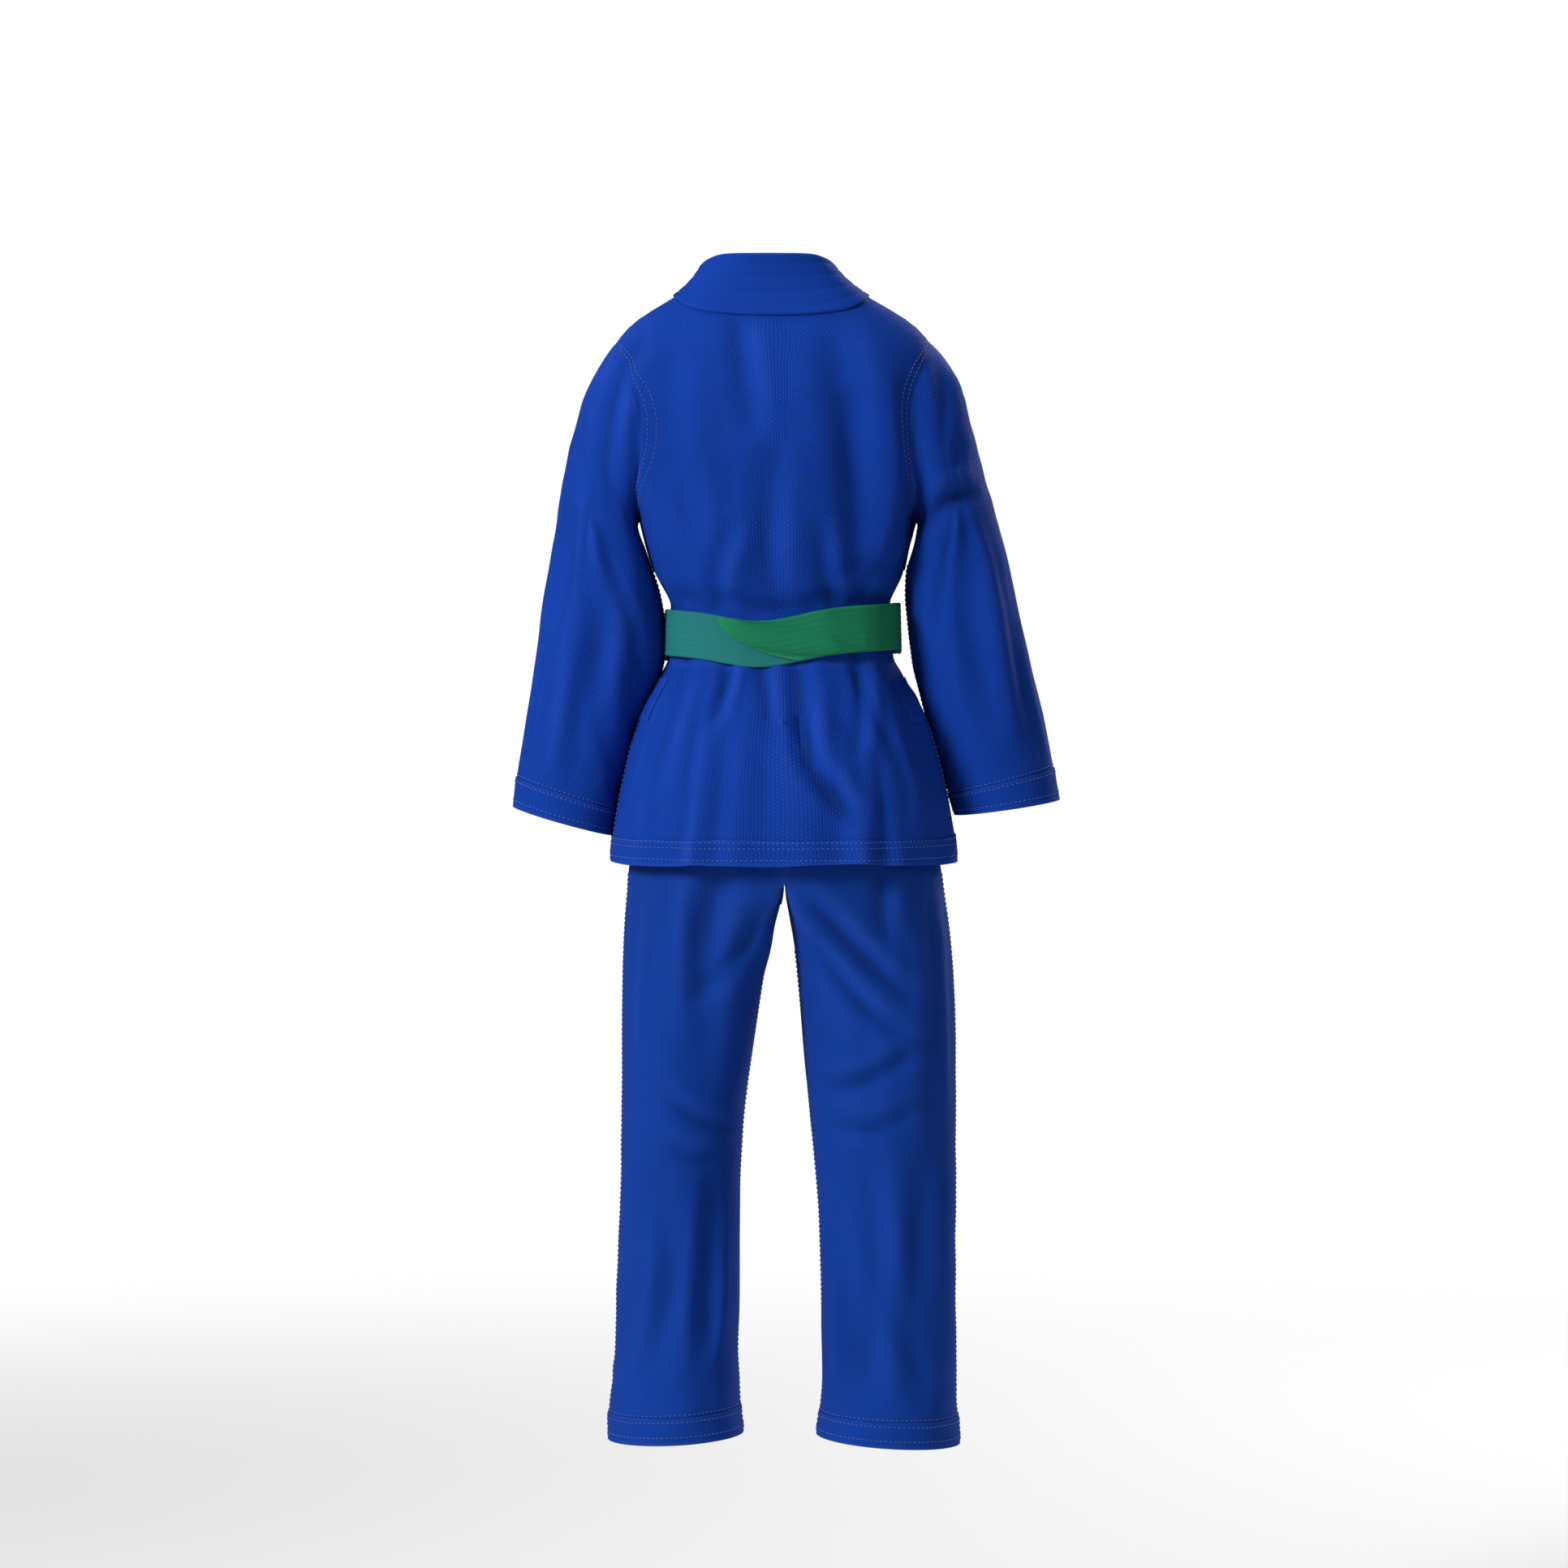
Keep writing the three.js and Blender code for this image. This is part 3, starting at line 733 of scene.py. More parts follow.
def lay_jacket(sizes):
    """The whole jacket as one cloth: settled on a body, cinched by the belt, then folded along the listed folds."""
    net = jacket_net(sizes)
    obj = net.build("jacket_net")
    inset = profile((575, 16), (700, 12), (757, 9), (785, 4), (815, 9), (860, 8), (1036, 5), (1062, 6))
    stations = [575, 610, 650, 690, 720, 745, 770, 800, 830, 860, 900, 950, 1000, 1030, 1050, 1062]
    trunk = mannequin("trunk", trunk_rings(JACKET, stations, inset))
    arms = [
        mannequin(f"arm_{name}", limb_rings(limb, [0.14, 0.22, 0.35, 0.5, 0.65, 0.8, 0.92, 1.0], 9))
        for name, limb in SLEEVES.items()
    ]
    points = settle(obj, net, sizes.frames, 12.0, 0.4)
    for body in [trunk, *arms]:
        bpy.data.objects.remove(body)
    obj.data.vertices.foreach_set("co", points.astype(np.float32).ravel())
    cloth = Cloth(obj, sizes.levels)
    trunk_part = cloth.parts < 4
    on_trunk = np.zeros(len(cloth.points), bool)
    on_trunk[cloth.quads[trunk_part].ravel()] = True
    push = fold_push(cloth.points, 1, BACK_FOLDS) + fold_push(cloth.points, -1, FRONT_FOLDS)
    sleeves = fold_push(cloth.points, 1, SLEEVE_FOLDS) + fold_push(cloth.points, -1, SLEEVE_FOLDS)
    beyond = np.where(on_trunk, smoothstep((cloth.points[:, 2] - UNDERARM) / 20), 1)
    cloth.push(push * on_trunk + sleeves * beyond)
    MADE["under_front"] = cloth.tree()
    cloth.push(overlap_push(cloth.points) * on_trunk)
    MADE["jacket"] = cloth
    MADE["jacket_net"] = net
    return cloth


def overlap_rise(height):
    """How far the left front lies over the right one: little under the belt, nothing above the V."""
    belt = 1 - 0.55 * np.exp(-((height - BELT_HEIGHT) / 28) ** 2)
    return FRONT_OVERLAP * belt * (1 - smoothstep((height - NECK_OPENING_FOOT) / 36))


def overlap_push(points):
    x, y, height = points.T
    left_free, _ = lapel_line(height)
    ramp = smoothstep((x - left_free - 4) / 12) * (1 - smoothstep((x - 62) / 44))
    return overlap_rise(height) * ramp * (y < 0)


FRONT_OVERLAP = 6.4
NECK_OPENING_FOOT = 958.0


def jacket_piece(name, chosen, rise=0.0, thickness=None):
    """A piece of the settled jacket cloth with its wall and finish."""
    sizes = bpy.context.scene.uniform_jacket
    obj = MADE["jacket"].cut(name, chosen, rise)
    wall(obj, sizes.thickness * 1000 if thickness is None else thickness)
    finish_piece(obj, jacket_material())
    return obj


def skirt_bend(obj, body):
    """Works the piece's place into its mesh."""
    top, end = place([[0, 0, WAIST_SEAM + 2], [0, 0, SKIRT_BEND_END]])
    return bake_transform(obj)


SKIRT_BEND_END = 700.0


def sleeve_bend(obj, name):
    """Works the sleeve piece's place into its mesh."""
    side = SIDES[name]
    start = place(JACKET.point(0 if side > 0 else math.pi, UNDERARM, -4.5))
    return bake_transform(obj)


def lapel_line(height):
    """Sideways places of the left lapel's and the right lapel's free edges."""
    return -crossing(height), crossing(height) + 2 * JACKET.centre(height)


def make_jacket(sizes):
    cloth = lay_jacket(sizes)
    net = MADE["jacket_net"]
    x, height = cloth.centres[:, 0], cloth.centres[:, 2]
    cut_height = cloth.face_uvs[:, 1] * 1000
    left_free, right_free = lapel_line(height)
    part = cloth.parts
    outer_front = x > left_free + 14
    inner_front = x < left_free + 8
    open_neck = (x < left_free + 12) & (x > right_free - 12) & (height > NECK_OPENING_FOOT)
    back = jacket_piece("jacket_back", part == 0)
    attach(back, "jacket")
    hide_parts("back_panel")
    cut_area(net, {0})
    for name, chosen in (("left", outer_front), ("right", inner_front)):
        front = jacket_piece(f"jacket_front_{name}", (part == 1) & chosen & ~open_neck)
        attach(front, "jacket")
        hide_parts(f"front_panel_{name}")
    skirt = jacket_piece("jacket_back_skirt", part == 2)
    skirt_bend(skirt, "back_skirt")
    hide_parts("back_skirt")
    cut_area(net, {2})
    for name, chosen in (("left", outer_front), ("right", inner_front)):
        front = jacket_piece(f"jacket_front_skirt_{name}", (part == 3) & chosen)
        skirt_bend(front, "front_skirt")
        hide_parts(f"front_skirt_{name}")
    hem = cut_height < SKIRT_HEM + HEM_BAND
    for name, chosen, body, nodes in (
        ("jacket_back_hem", part == 2, "back_skirt", ["back_hem_band"]),
        ("jacket_front_hem_left", (part == 3) & outer_front, "front_skirt", ["front_hem_band_left"]),
        ("jacket_front_hem_right", (part == 3) & inner_front, "front_skirt", ["front_hem_band_right"]),
    ):
        band = jacket_piece(name, chosen & hem, rise=HEM_RISE, thickness=HEM_RISE - 0.1)
        skirt_bend(band, body)
        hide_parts(*nodes)
        width = 0.46 if "back" in name else 0.3
    for name, index in (("left", 4), ("right", 5)):
        sleeve = jacket_piece(f"jacket_sleeve_{name}", part == index)
        sleeve_bend(sleeve, name)
        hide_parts(f"sleeve_{name}")
        cut_area(net, {index})
        cuff = jacket_piece(
            f"jacket_cuff_{name}", (part == index) & (cut_height < 0.6e3 + CUFF_BAND),
            rise=HEM_RISE, thickness=HEM_RISE - 0.1)
        sleeve_bend(cuff, name)
        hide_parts(f"cuff_{name}")
    jacket_patches(cloth)


HEM_BAND = 22.0
CUFF_BAND = 26.0
HEM_RISE = 1.1


def half_area(obj):
    """One side of a closed sheet, in square metres."""
    return sum(p.area for p in obj.data.polygons) / 2


def jacket_patches(cloth):
    """Lining inside the shoulders, and doubled cloth under the arms and above the side slits."""
    part, u = cloth.parts, cloth.face_uvs[:, 0]
    height = cloth.face_uvs[:, 1] * 1000
    sizes = bpy.context.scene.uniform_jacket
    yoke = jacket_piece("shoulder_lining", (part == 0) & (height > YOKE_FOOT),
                        rise=-sizes.thickness * 1000 - 0.2, thickness=LINING_WALL)
    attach(yoke, "jacket")
    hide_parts("shoulder_yoke")
    for name, side in SIDES.items():
        beside = cloth.centres[:, 0] * side > 0
        near_seam = (u < 0.016) | ((u > 0.344) & (u < 0.376)) | (u > 0.704)
        gusset = jacket_piece(
            f"underarm_patch_{name}", (part < 2) & beside & near_seam & (height < 884) & (height > 842),
            rise=PATCH_RISE, thickness=PATCH_RISE - 0.1)
        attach(gusset, "jacket")
        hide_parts(f"underarm_gusset_{name}")
        by_slit = (u < 0.045) if side > 0 else (u > 0.315)
        vent = jacket_piece(
            f"slit_patch_{name}", (part == 2) & by_slit & (height < VENT_TOP + 12) & (height > VENT_TOP - 22),
            rise=PATCH_RISE, thickness=PATCH_RISE - 0.1)
        skirt_bend(vent, "back_skirt")
        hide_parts(f"vent_patch_{name}")


YOKE_FOOT = 992.0
LINING_WALL = 1.0
PATCH_RISE = 1.0


# ---- Bands: collar, lapels, belt ----
class Band:
    """A band of cloth with a thickness, laid along stations of (one edge, middle, other edge, outward)."""

    def __init__(self, stations, closed=False):
        self.closed = closed
        self.rails = np.array([[e0, m, e1] for e0, m, e1, _ in stations], float)
        self.outward = np.array([n for *_, n in stations], float)
        self.outward /= np.linalg.norm(self.outward, axis=1)[:, None]

    def build(self, name, steps, lift, thickness, margin=0.0):
        """lift(across, along) is the relief of the outer side in millimetres, across from 0 to 1."""
        count = len(self.rails)
        middles = self.rails[:, 1]
        gaps = np.linalg.norm(np.diff(middles, axis=0), axis=1)
        length = np.concatenate([[0], np.cumsum(gaps)])
        width = np.linalg.norm(self.rails[:, 2] - self.rails[:, 0], axis=1).mean()
        outside, inside, places = [], [], []
        for i in range(count):
            e0, m, e1 = self.rails[i]
            for j in range(steps + 1):
                v = j / steps
                peak = 2 * m - (e0 + e1) / 2
                point = e0 * (1 - v) ** 2 + 2 * peak * v * (1 - v) + e1 * v * v
                top = point + self.outward[i] * (lift(v, length[i]) + margin)
                outside.append(top)
                inside.append(point + self.outward[i] * (margin - thickness))
                places.append((length[i] / 1000, v * width / 1000))
        row = steps + 1
        total = len(outside)
        faces = []
        last = count if self.closed else count - 1
        for i in range(last):
            a, b = i * row, ((i + 1) % count) * row
            for j in range(steps):
                faces.append((a + j, a + j + 1, b + j + 1, b + j))
                faces.append((total + a + j, total + b + j, total + b + j + 1, total + a + j + 1))
            faces.append((a, b, total + b, total + a))
            faces.append((a + steps, total + a + steps, total + b + steps, b + steps))
        if not self.closed:
            end = (count - 1) * row
            for j in range(steps):
                faces.append((j, total + j, total + j + 1, j + 1))
                faces.append((end + j, end + j + 1, total + end + j + 1, total + end + j))
        mesh = bpy.data.meshes.new(name)
        mesh.from_pydata([tuple(p) for p in place(outside + inside)], [], faces)
        layer = mesh.uv_layers.new(name="cloth")
        table = np.array(places + places, np.float32)
        corners = np.empty(len(mesh.loops), np.int32)
        mesh.loops.foreach_get("vertex_index", corners)
        layer.data.foreach_set("uv", table[corners].ravel())
        work = bmesh.new()
        work.from_mesh(mesh)
        bmesh.ops.recalc_face_normals(work, faces=work.faces)
        work.to_mesh(mesh)
        work.free()
        return link(bpy.data.objects.new(name, mesh))


def rows_relief(rows, depth, groove, steps_soft=0.035):
    """Relief across a band: rounded edges and a shallow groove along each stitched row."""
    def lift(v, _along):
        edge = min(v, 1 - v)
        rounded = -1.4 * max(0.0, 1 - edge / steps_soft) ** 2
        pressed = sum(math.exp(-((v - row) / groove) ** 2) for row in rows)
        return rounded - depth * pressed
    return lift


def on_cloth(tree, x, height, facing, offset):
    """The place on the cloth in front of or behind a sideways place, lifted by offset, and its normal."""
    origin = Vector(place([x, 400 * facing, height]))
    hit, normal, _, _ = tree.ray_cast(origin, Vector((0, -facing, 0)))
    if hit is None:
        raise RuntimeError(f"no cloth at {x}, {height}")
    point = np.array(hit) * 1000 + [0, 0, NECK_HEIGHT]
    normal = np.array(normal)
    if normal[1] * facing < 0:
        normal = -normal
    return point + normal * offset, normal


def evened(stations, rounds):
    """Stations smoothed along the band, ends kept."""
    table = np.array([[*e0, *m, *e1, *n] for e0, m, e1, n in stations])
    for _ in range(rounds):
        table[1:-1] = 0.5 * table[1:-1] + 0.25 * (table[:-2] + table[2:])
    return [(r[0:3], r[3:6], r[6:9], r[9:12]) for r in table]


def resampled(stations, pitch):
    """Stations on smooth curves through the given ones, about a pitch apart."""
    table = [np.concatenate(s) for s in stations]
    curve = spline(table)
    middles = np.array([t[3:6] for t in table])
    length = np.linalg.norm(np.diff(middles, axis=0), axis=1).sum()
    count = max(4, round(length / pitch))
    rows = [curve(i / count) for i in range(count + 1)]
    return [(r[0:3], r[3:6], r[6:9], r[9:12]) for r in rows]


def lapel_stations(side, heights, offset):
    """Stations down one lapel, over the fronts as they are before the left one is lifted."""
    tree = MADE["under_front"]
    rows = []
    for height in heights:
        free = side * -crossing(height) + (0 if side > 0 else 2 * JACKET.centre(height))
        middle = free + side * LAPEL_WIDTH / 2
        sewn = free + side * LAPEL_WIDTH
        lift = offset(height)
        e0, n0 = on_cloth(tree, free, height, -1, lift + 0.8)
        m, n1 = on_cloth(tree, middle, height, -1, lift + 0.6)
        e1, n2 = on_cloth(tree, sewn, height, -1, lift)
        rows.append((e0, m, e1, n0 + n1 + n2))
    return rows


COLLAR_TOP_HALF = (57.0, 43.0)
COLLAR_WALL = 3.6
LAPEL_LIFT = 3.4
COLLAR_ROWS = (0.16, 0.38, 0.62, 0.84)


def near_collar(height):
    """Extra lift where the lapels turn over the shoulders into the collar."""
    return 2.4 * smoothstep((height - 1016) / 24)


def neck_stations():
    rows = []
    for angle in np.linspace(-0.3, math.pi + 0.3, 15):
        beside = abs(math.cos(angle))
        drop = 9 * smoothstep((beside - 0.8) / 0.2)
        drop += 26 * max(0.0, -math.sin(angle))
        c, s = math.cos(angle), math.sin(angle)
        wide, dark_tone_and_shade = COLLAR_TOP_HALF
        high = np.array([NECK_CENTRE + 3 + wide * c, dark_tone_and_shade * s, COLLAR_TOP - 1 - drop])
        foot = PANEL_TOP - 5
        ahead = max(0.0, -math.sin(angle))
        low = JACKET.point(angle, foot + shoulder_rise(angle, foot), 3.0 + 6 * ahead)
        bulge = np.array([c, s, 0.25])
        rows.append((high, (high + low) / 2 - bulge * 2.5, low, bulge))
    return rows


def make_collar(sizes):
    """The collar and both lapels as one long band, and the lapels' ends on the skirts."""
    down = [1054, 1042, 1028, 1010, 985, 950, 915, 880, 845, 820, 800, 780, 766]
    left = lapel_stations(1, down, lambda h: LAPEL_LIFT + overlap_rise(h) + near_collar(h))
    right = lapel_stations(-1, down[:-4], lambda h: LAPEL_LIFT + near_collar(h))
    stations = left[::-1] + neck_stations() + right
    collar = Band(resampled(evened(stations, 1), 5.0)).build(
        "collar_band", 36, rows_relief(COLLAR_ROWS, 0.55, 0.028), COLLAR_WALL, COLLAR_WALL * 0.55)
    finish_piece(collar, collar_material(), 60)
    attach(collar, "jacket")
    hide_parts("neck_collar", "lapel_left", "lapel_right")
    for name, side in SIDES.items():
        low = [767, 750, 725, 700, 670, 640, 612, SKIRT_HEM + 1]
        over = 1.0 if side > 0 else 0.0
        rows = lapel_stations(side, low, lambda h: LAPEL_LIFT + over * overlap_rise(h) - 0.8 * (1 - over))
        end = Band(resampled(evened(rows, 1), 5.0)).build(
            f"lapel_end_{name}", 36, rows_relief(COLLAR_ROWS, 0.55, 0.028), COLLAR_WALL, COLLAR_WALL * 0.5)
        finish_piece(end, collar_material(), 60)
        skirt_bend(end, "front_skirt")
        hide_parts(f"skirt_lapel_{name}")


# ---- Belt ----
BELT_WIDTH = 40.0
BELT_WALL = 2.8
BELT_ROWS = tuple((k + 1) / 8 for k in range(7))
STRAP_BOTTOM = 560.0
TUCK_TOP, TUCK_BOTTOM = 56.0, -14.0


class Waist:
    """The taut line round the cloth and the lapels at belt height, from its support in each direction."""

    STEPS = 360

    def __init__(self, objs):
        near = []
        for obj in objs:
            points = coordinates(obj.data) * 1000 + [0, 0, NECK_HEIGHT]
            near.append(points[np.abs(points[:, 2] - BELT_HEIGHT) < 17][:, :2])
        near = np.concatenate(near)
        turn = np.linspace(0, 2 * math.pi, self.STEPS, endpoint=False)
        reach = np.array([(near @ [math.cos(a), math.sin(a)]).max() for a in turn])
        for _ in range(14):
            reach = 0.5 * reach + 0.25 * (np.roll(reach, 1) + np.roll(reach, -1))
        self.turn, self.reach = turn, reach
        self.slope = (np.roll(reach, -1) - np.roll(reach, 1)) / (2 * (turn[1] - turn[0]))

    def at(self, angle, offset):
        reach = np.interp(angle % (2 * math.pi), self.turn, self.reach, period=2 * math.pi) + offset
        slope = np.interp(angle % (2 * math.pi), self.turn, self.slope, period=2 * math.pi)
        c, s = math.cos(angle), math.sin(angle)
        return np.array([reach * c - slope * s, reach * s + slope * c]), np.array([c, s, 0.0])


def belt_centre(x, y):
    """Height of the belt's middle line: it dips at the back and rises to the right side."""
    if y < 0:
        return BELT_HEIGHT - 1 + 0.03 * -x
    dip = 11 * math.exp(-((x - 20) / 46) ** 2)
    return BELT_HEIGHT + 4 - 0.026 * x - dip


def belt_station(waist, angle_low, angle_high, offset, lean):
    """One station of a wrap: its lower and its upper edge may stand at different angles."""
    rails = []
    for v, angle in ((0, angle_low), (0.5, (angle_low + angle_high) / 2), (1, angle_high)):
        flat, normal = waist.at(angle, offset + lean * (0.5 - v))
        height = belt_centre(*flat) + BELT_WIDTH * (v - 0.5)
        rails.append(np.array([*flat, height]))
    return rails[0], rails[1], rails[2], normal


def back_angle(waist, x):
    """The angle on the back where the waist line passes a sideways place."""
    angles = np.linspace(0.15, math.pi - 0.15, 400)
    places = np.array([waist.at(a, 0)[0][0] for a in angles])
    return float(np.interp(-x, -places, angles))


def finish_belt(obj, material):
    finish_piece(obj, material, 60)
    return obj


def belt_sheet(obj, length):
    min(half_area(obj) * 0.92, 0.999 * length * BELT_WIDTH / 1000)


def make_belt(sizes):
    cloth = [bpy.data.objects[n] for n in ("jacket_back", "jacket_front_left", "jacket_front_right")]
    waist = Waist([*cloth, bpy.data.objects["collar_band"]])
    MADE["waist"] = waist
    relief = rows_relief(BELT_ROWS, 0.34, 0.03)
    inner = Band([
        belt_station(waist, a, a, BELT_WALL + 0.3, 0.8)
        for a in np.linspace(0, 2 * math.pi, 150, endpoint=False)
    ], closed=True).build("belt_wrap_first", 40, relief, BELT_WALL)
    finish_belt(inner, belt_material("first"))
    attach(inner, "jacket")
    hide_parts("belt_inner_wrap")
    belt_sheet(inner, 0.62)

    top, bottom = back_angle(waist, TUCK_TOP), back_angle(waist, TUCK_BOTTOM)
    start, middle = 1.5 * math.pi - 0.05, (top + bottom) / 2
    stations = []
    for s in np.linspace(0, 1, 110):
        spread = (bottom - top) * smoothstep((s - 0.62) / 0.38)
        angle = start + (middle - start) * s
        over = 2 * BELT_WALL + 0.7 - 0.9 * smoothstep((s - 0.96) / 0.04)
        stations.append(belt_station(waist, angle + spread / 2, angle - spread / 2, over, 1.0))
    outer = Band(stations).build("belt_wrap_second", 40, relief, BELT_WALL)
    finish_belt(outer, belt_material("second"))
    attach(outer, "jacket")
    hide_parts("belt_outer_wrap")
    belt_sheet(outer, 0.36)
    make_knot(waist)


def make_knot(waist):
    """A square knot: a lobe from each side, a wrap round both, and the two hanging ends."""
    flat, _ = waist.at(1.5 * math.pi, BELT_WALL)
    front = -flat[1]
    middle = belt_centre(0, -1)
    relief = rows_relief(BELT_ROWS, 0.34, 0.03)
    pieces = []
    for name, side in SIDES.items():
        rows = []
        for s in np.linspace(0, 1, 16):
            x = side * (47 - 45 * s)
            y = -(front + 3.6 + 6.0 * math.sin(0.5 * math.pi * s) + (1.2 if side > 0 else 0.2))
            half = 20 - 6.5 * smoothstep(s)
            z = middle - side * 1.5 * s
            bulge = 2.6 * math.sin(math.pi * s)
            rows.append((
                np.array([x, y, z - half]), np.array([x, y - bulge, z]), np.array([x, y, z + half]),
                np.array([side * 0.3 * math.cos(math.pi * s), -1, 0.0])))
        pieces.append(Band(resampled(rows, 2.4)).build(f"knot_lobe_{name}", 36, relief, BELT_WALL))
    rows = []
    lean = math.radians(20)
    for angle in np.linspace(0, 2 * math.pi, 40, endpoint=False):
        c, s = math.cos(angle), math.sin(angle)
        centre = np.array([0.0, -(front + 6.0) - 8.2 * c, middle + 19.5 * s])
        outward = np.array([0.0, -c / 8.2, s / 19.5])
        pinch = 1 - 0.16 * c * c
        reach = np.array([15.5 * math.cos(lean), 0, 15.5 * math.sin(lean)]) * pinch
        slope = np.array([0, 0.8 * abs(s), 0])
        rows.append((centre - reach + slope, centre, centre + reach + slope, outward))
    pieces.append(Band(rows, closed=True).build("knot_wrap", 32, rows_relief(BELT_ROWS, 0.3, 0.03), 2.4))
    for piece, material in zip(pieces, ("first", "second", "second")):
        finish_belt(piece, belt_material(material))
        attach(piece, "jacket")
        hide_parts("belt_knot")
        belt_sheet(piece, {"knot_wrap": 0.09}.get(piece.name, 0.06))
    for name, side in SIDES.items():
        rows = []
        path = [
            (5, front + 9.5, middle - 8), (11, front + 12, middle - 22), (20, 104, 742), (27, 110, 718),
            (36, 113, 680), (46, 115, 640), (55, 117, 600), (63, 119.0, STRAP_BOTTOM + 2)]
        for k, (x, forward, z) in enumerate(path):
            twist = side * (0.10 - 0.035 * k)
            half = 15 + 4.4 * min(1, k / 2)
            tilt = 0.22
            across = np.array([half * math.cos(tilt), half * twist, half * side * math.sin(tilt)])
            wave = 1.2 * math.sin(1.9 * k + side)
            centre = np.array([side * x, -(forward + wave), z])
            rows.append((centre - across, centre + [0, -0.8, 0], centre + across, np.array([0, -1, 0.06])))
        end = Band(resampled(rows, 3.0)).build(f"belt_tail_{name}", 40, relief, BELT_WALL + 0.4)
        finish_belt(end, belt_material("first" if side > 0 else "second"))
        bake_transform(end)
        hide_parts(f"belt_end_{name}")


# ---- Trousers ----
LEG_FOLDS = {
    "left": [
        ([(116, 396), (76, 366), (34, 352)], 4.0, 9.0), ([(118, 350), (76, 332), (44, 340)], 3.0, 9.0),
        ([(48, 600), (74, 520), (70, 390)], 6.5, 16.0), ([(112, 340), (102, 230), (112, 110)], 5.5, 15.0),
        ([(58, 330), (68, 230), (60, 110)], 5.0, 13.0), ([(6, 566), (36, 516), (84, 470)], 5.0, 10.0),
        ([(100, 598), (110, 520), (104, 420)], 5.0, 13.0),
    ],
    "right": [
        ([(-8, 570), (-58, 516), (-112, 466)], 7.0, 10.0), ([(-18, 530), (-58, 474), (-112, 430)], 4.6, 9.0),
        ([(-30, 396), (-74, 404), (-134, 440)], 4.6, 9.0), ([(-34, 366), (-80, 362), (-136, 386)], 3.4, 9.0),
        ([(-66, 350), (-74, 240), (-66, 110)], 6.0, 14.0), ([(-122, 340), (-112, 220), (-122, 110)], 5.0, 14.0),
        ([(-90, 604), (-84, 560), (-92, 500)], 4.4, 9.0),
    ],
}


def lay_trousers(name, sizes):
    net = trousers_net(name, sizes)
    obj = net.build(f"trousers_net_{name}")
    inset = profile((560, 9), (600, 8), (700, 6), (735, 3))
    side, limb = SIDES[name], LEGS[name]
    hips = mannequin("hips", trunk_rings(HIPS, [585, 610, 640, 670, 700, 732], inset))
    leg = mannequin("leg", limb_rings(limb, [0.02, 0.1, 0.2, 0.32, 0.45, 0.6, 0.75, 0.9, 1.0], 12))
    points = settle(obj, net, sizes.frames, 10.0, 0.35)
    for body in (hips, leg):
        bpy.data.objects.remove(body)
    obj.data.vertices.foreach_set("co", points.astype(np.float32).ravel())
    cloth = Cloth(obj, sizes.levels)
    below_seat = smoothstep((LEG_TOP + 10 - cloth.points[:, 2]) / 30)
    cloth.push(fold_push(cloth.points, 1, LEG_FOLDS[name]) * below_seat)
    mirrored = [([(-x, z) for x, z in path], depth, width) for path, depth, width in
                LEG_FOLDS["right" if name == "left" else "left"]]
    cloth.push(fold_push(cloth.points, -1, mirrored) * below_seat * 0.7)
    MADE[f"trousers_{name}"] = cloth
    return cloth, net, side


def leg_bend(obj, name):
    start, end = place([[0, 0, 604], [SIDES[name] * 90, 0, 470]])
    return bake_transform(obj, "trousers", f"leg_{name}", start=tuple(start), end=tuple(end))


def trouser_piece(name, cloth, chosen, rise=0.0, thickness=None):
    obj = cloth.cut(name, chosen, rise)
    wall(obj, TROUSER_WALL if thickness is None else thickness)
    finish_piece(obj, trouser_material())
    return obj


TROUSER_WALL = 1.7


def make_trousers(sizes):
    for name in SIDES:
        cloth, net, side = lay_trousers(name, sizes)
        everything = np.ones(len(cloth.quads), bool)
        leg = trouser_piece(f"trousers_{name}", cloth, everything)
        leg_bend(leg, name)
        seat = "seat_back" if side > 0 else "seat_front"
        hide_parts(f"trouser_leg_{name}", seat)
        cut_area(net, {0})
        v = -cloth.face_uvs[:, 1]
        hem = trouser_piece(f"trousers_hem_{name}", cloth, v > 0.69 - LEG_HEM / 1000, HEM_RISE, HEM_RISE - 0.1)
        leg_bend(hem, name)
        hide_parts(f"trouser_hem_{name}")
        height, y = cloth.centres[:, 2], cloth.centres[:, 1]
        x = side * cloth.centres[:, 0]
        knee = (v > 0.375) & (v < 0.505) & (y < -22) & (x > 48) & (x < 124)
        patch = trouser_piece(f"knee_{name}", cloth, knee, PATCH_RISE, PATCH_RISE - 0.1)
        leg_bend(patch, name)
        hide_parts(f"knee_patch_{name}")
        loop_band(name, side)
        crotch = np.hypot(cloth.centres[:, 1] / 62, cloth.centres[:, 0] / 20) + abs(height - CROTCH - 4) / 30 < 1
        if side > 0:
            gusset = trouser_piece("crotch_patch", cloth, crotch, PATCH_RISE, PATCH_RISE - 0.1)
            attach(gusset, "trousers")
            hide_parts("crotch_gusset")
    rows = []
    for angle in np.linspace(0, 2 * math.pi, 180, endpoint=False):
        wave = 0.9 * math.sin(37 * angle) + 0.5 * math.sin(61 * angle)
        low, mid, high = (HIPS.point(angle, TROUSER_TOP - d, 1.6 + wave * k) for d, k in ((30, 1), (15, 0.6), (0, 1)))
        rows.append((low, mid, high, np.array([math.cos(angle), math.sin(angle), 0])))
    band = Band(rows, closed=True).build("waist_strip", 18, rows_relief((0.12, 0.88), 0.5, 0.04), 2.6, 1.2)
    finish_piece(band, trouser_material(), 60)
    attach(band, "trousers")
    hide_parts("waistband")


LEG_HEM = 24.0


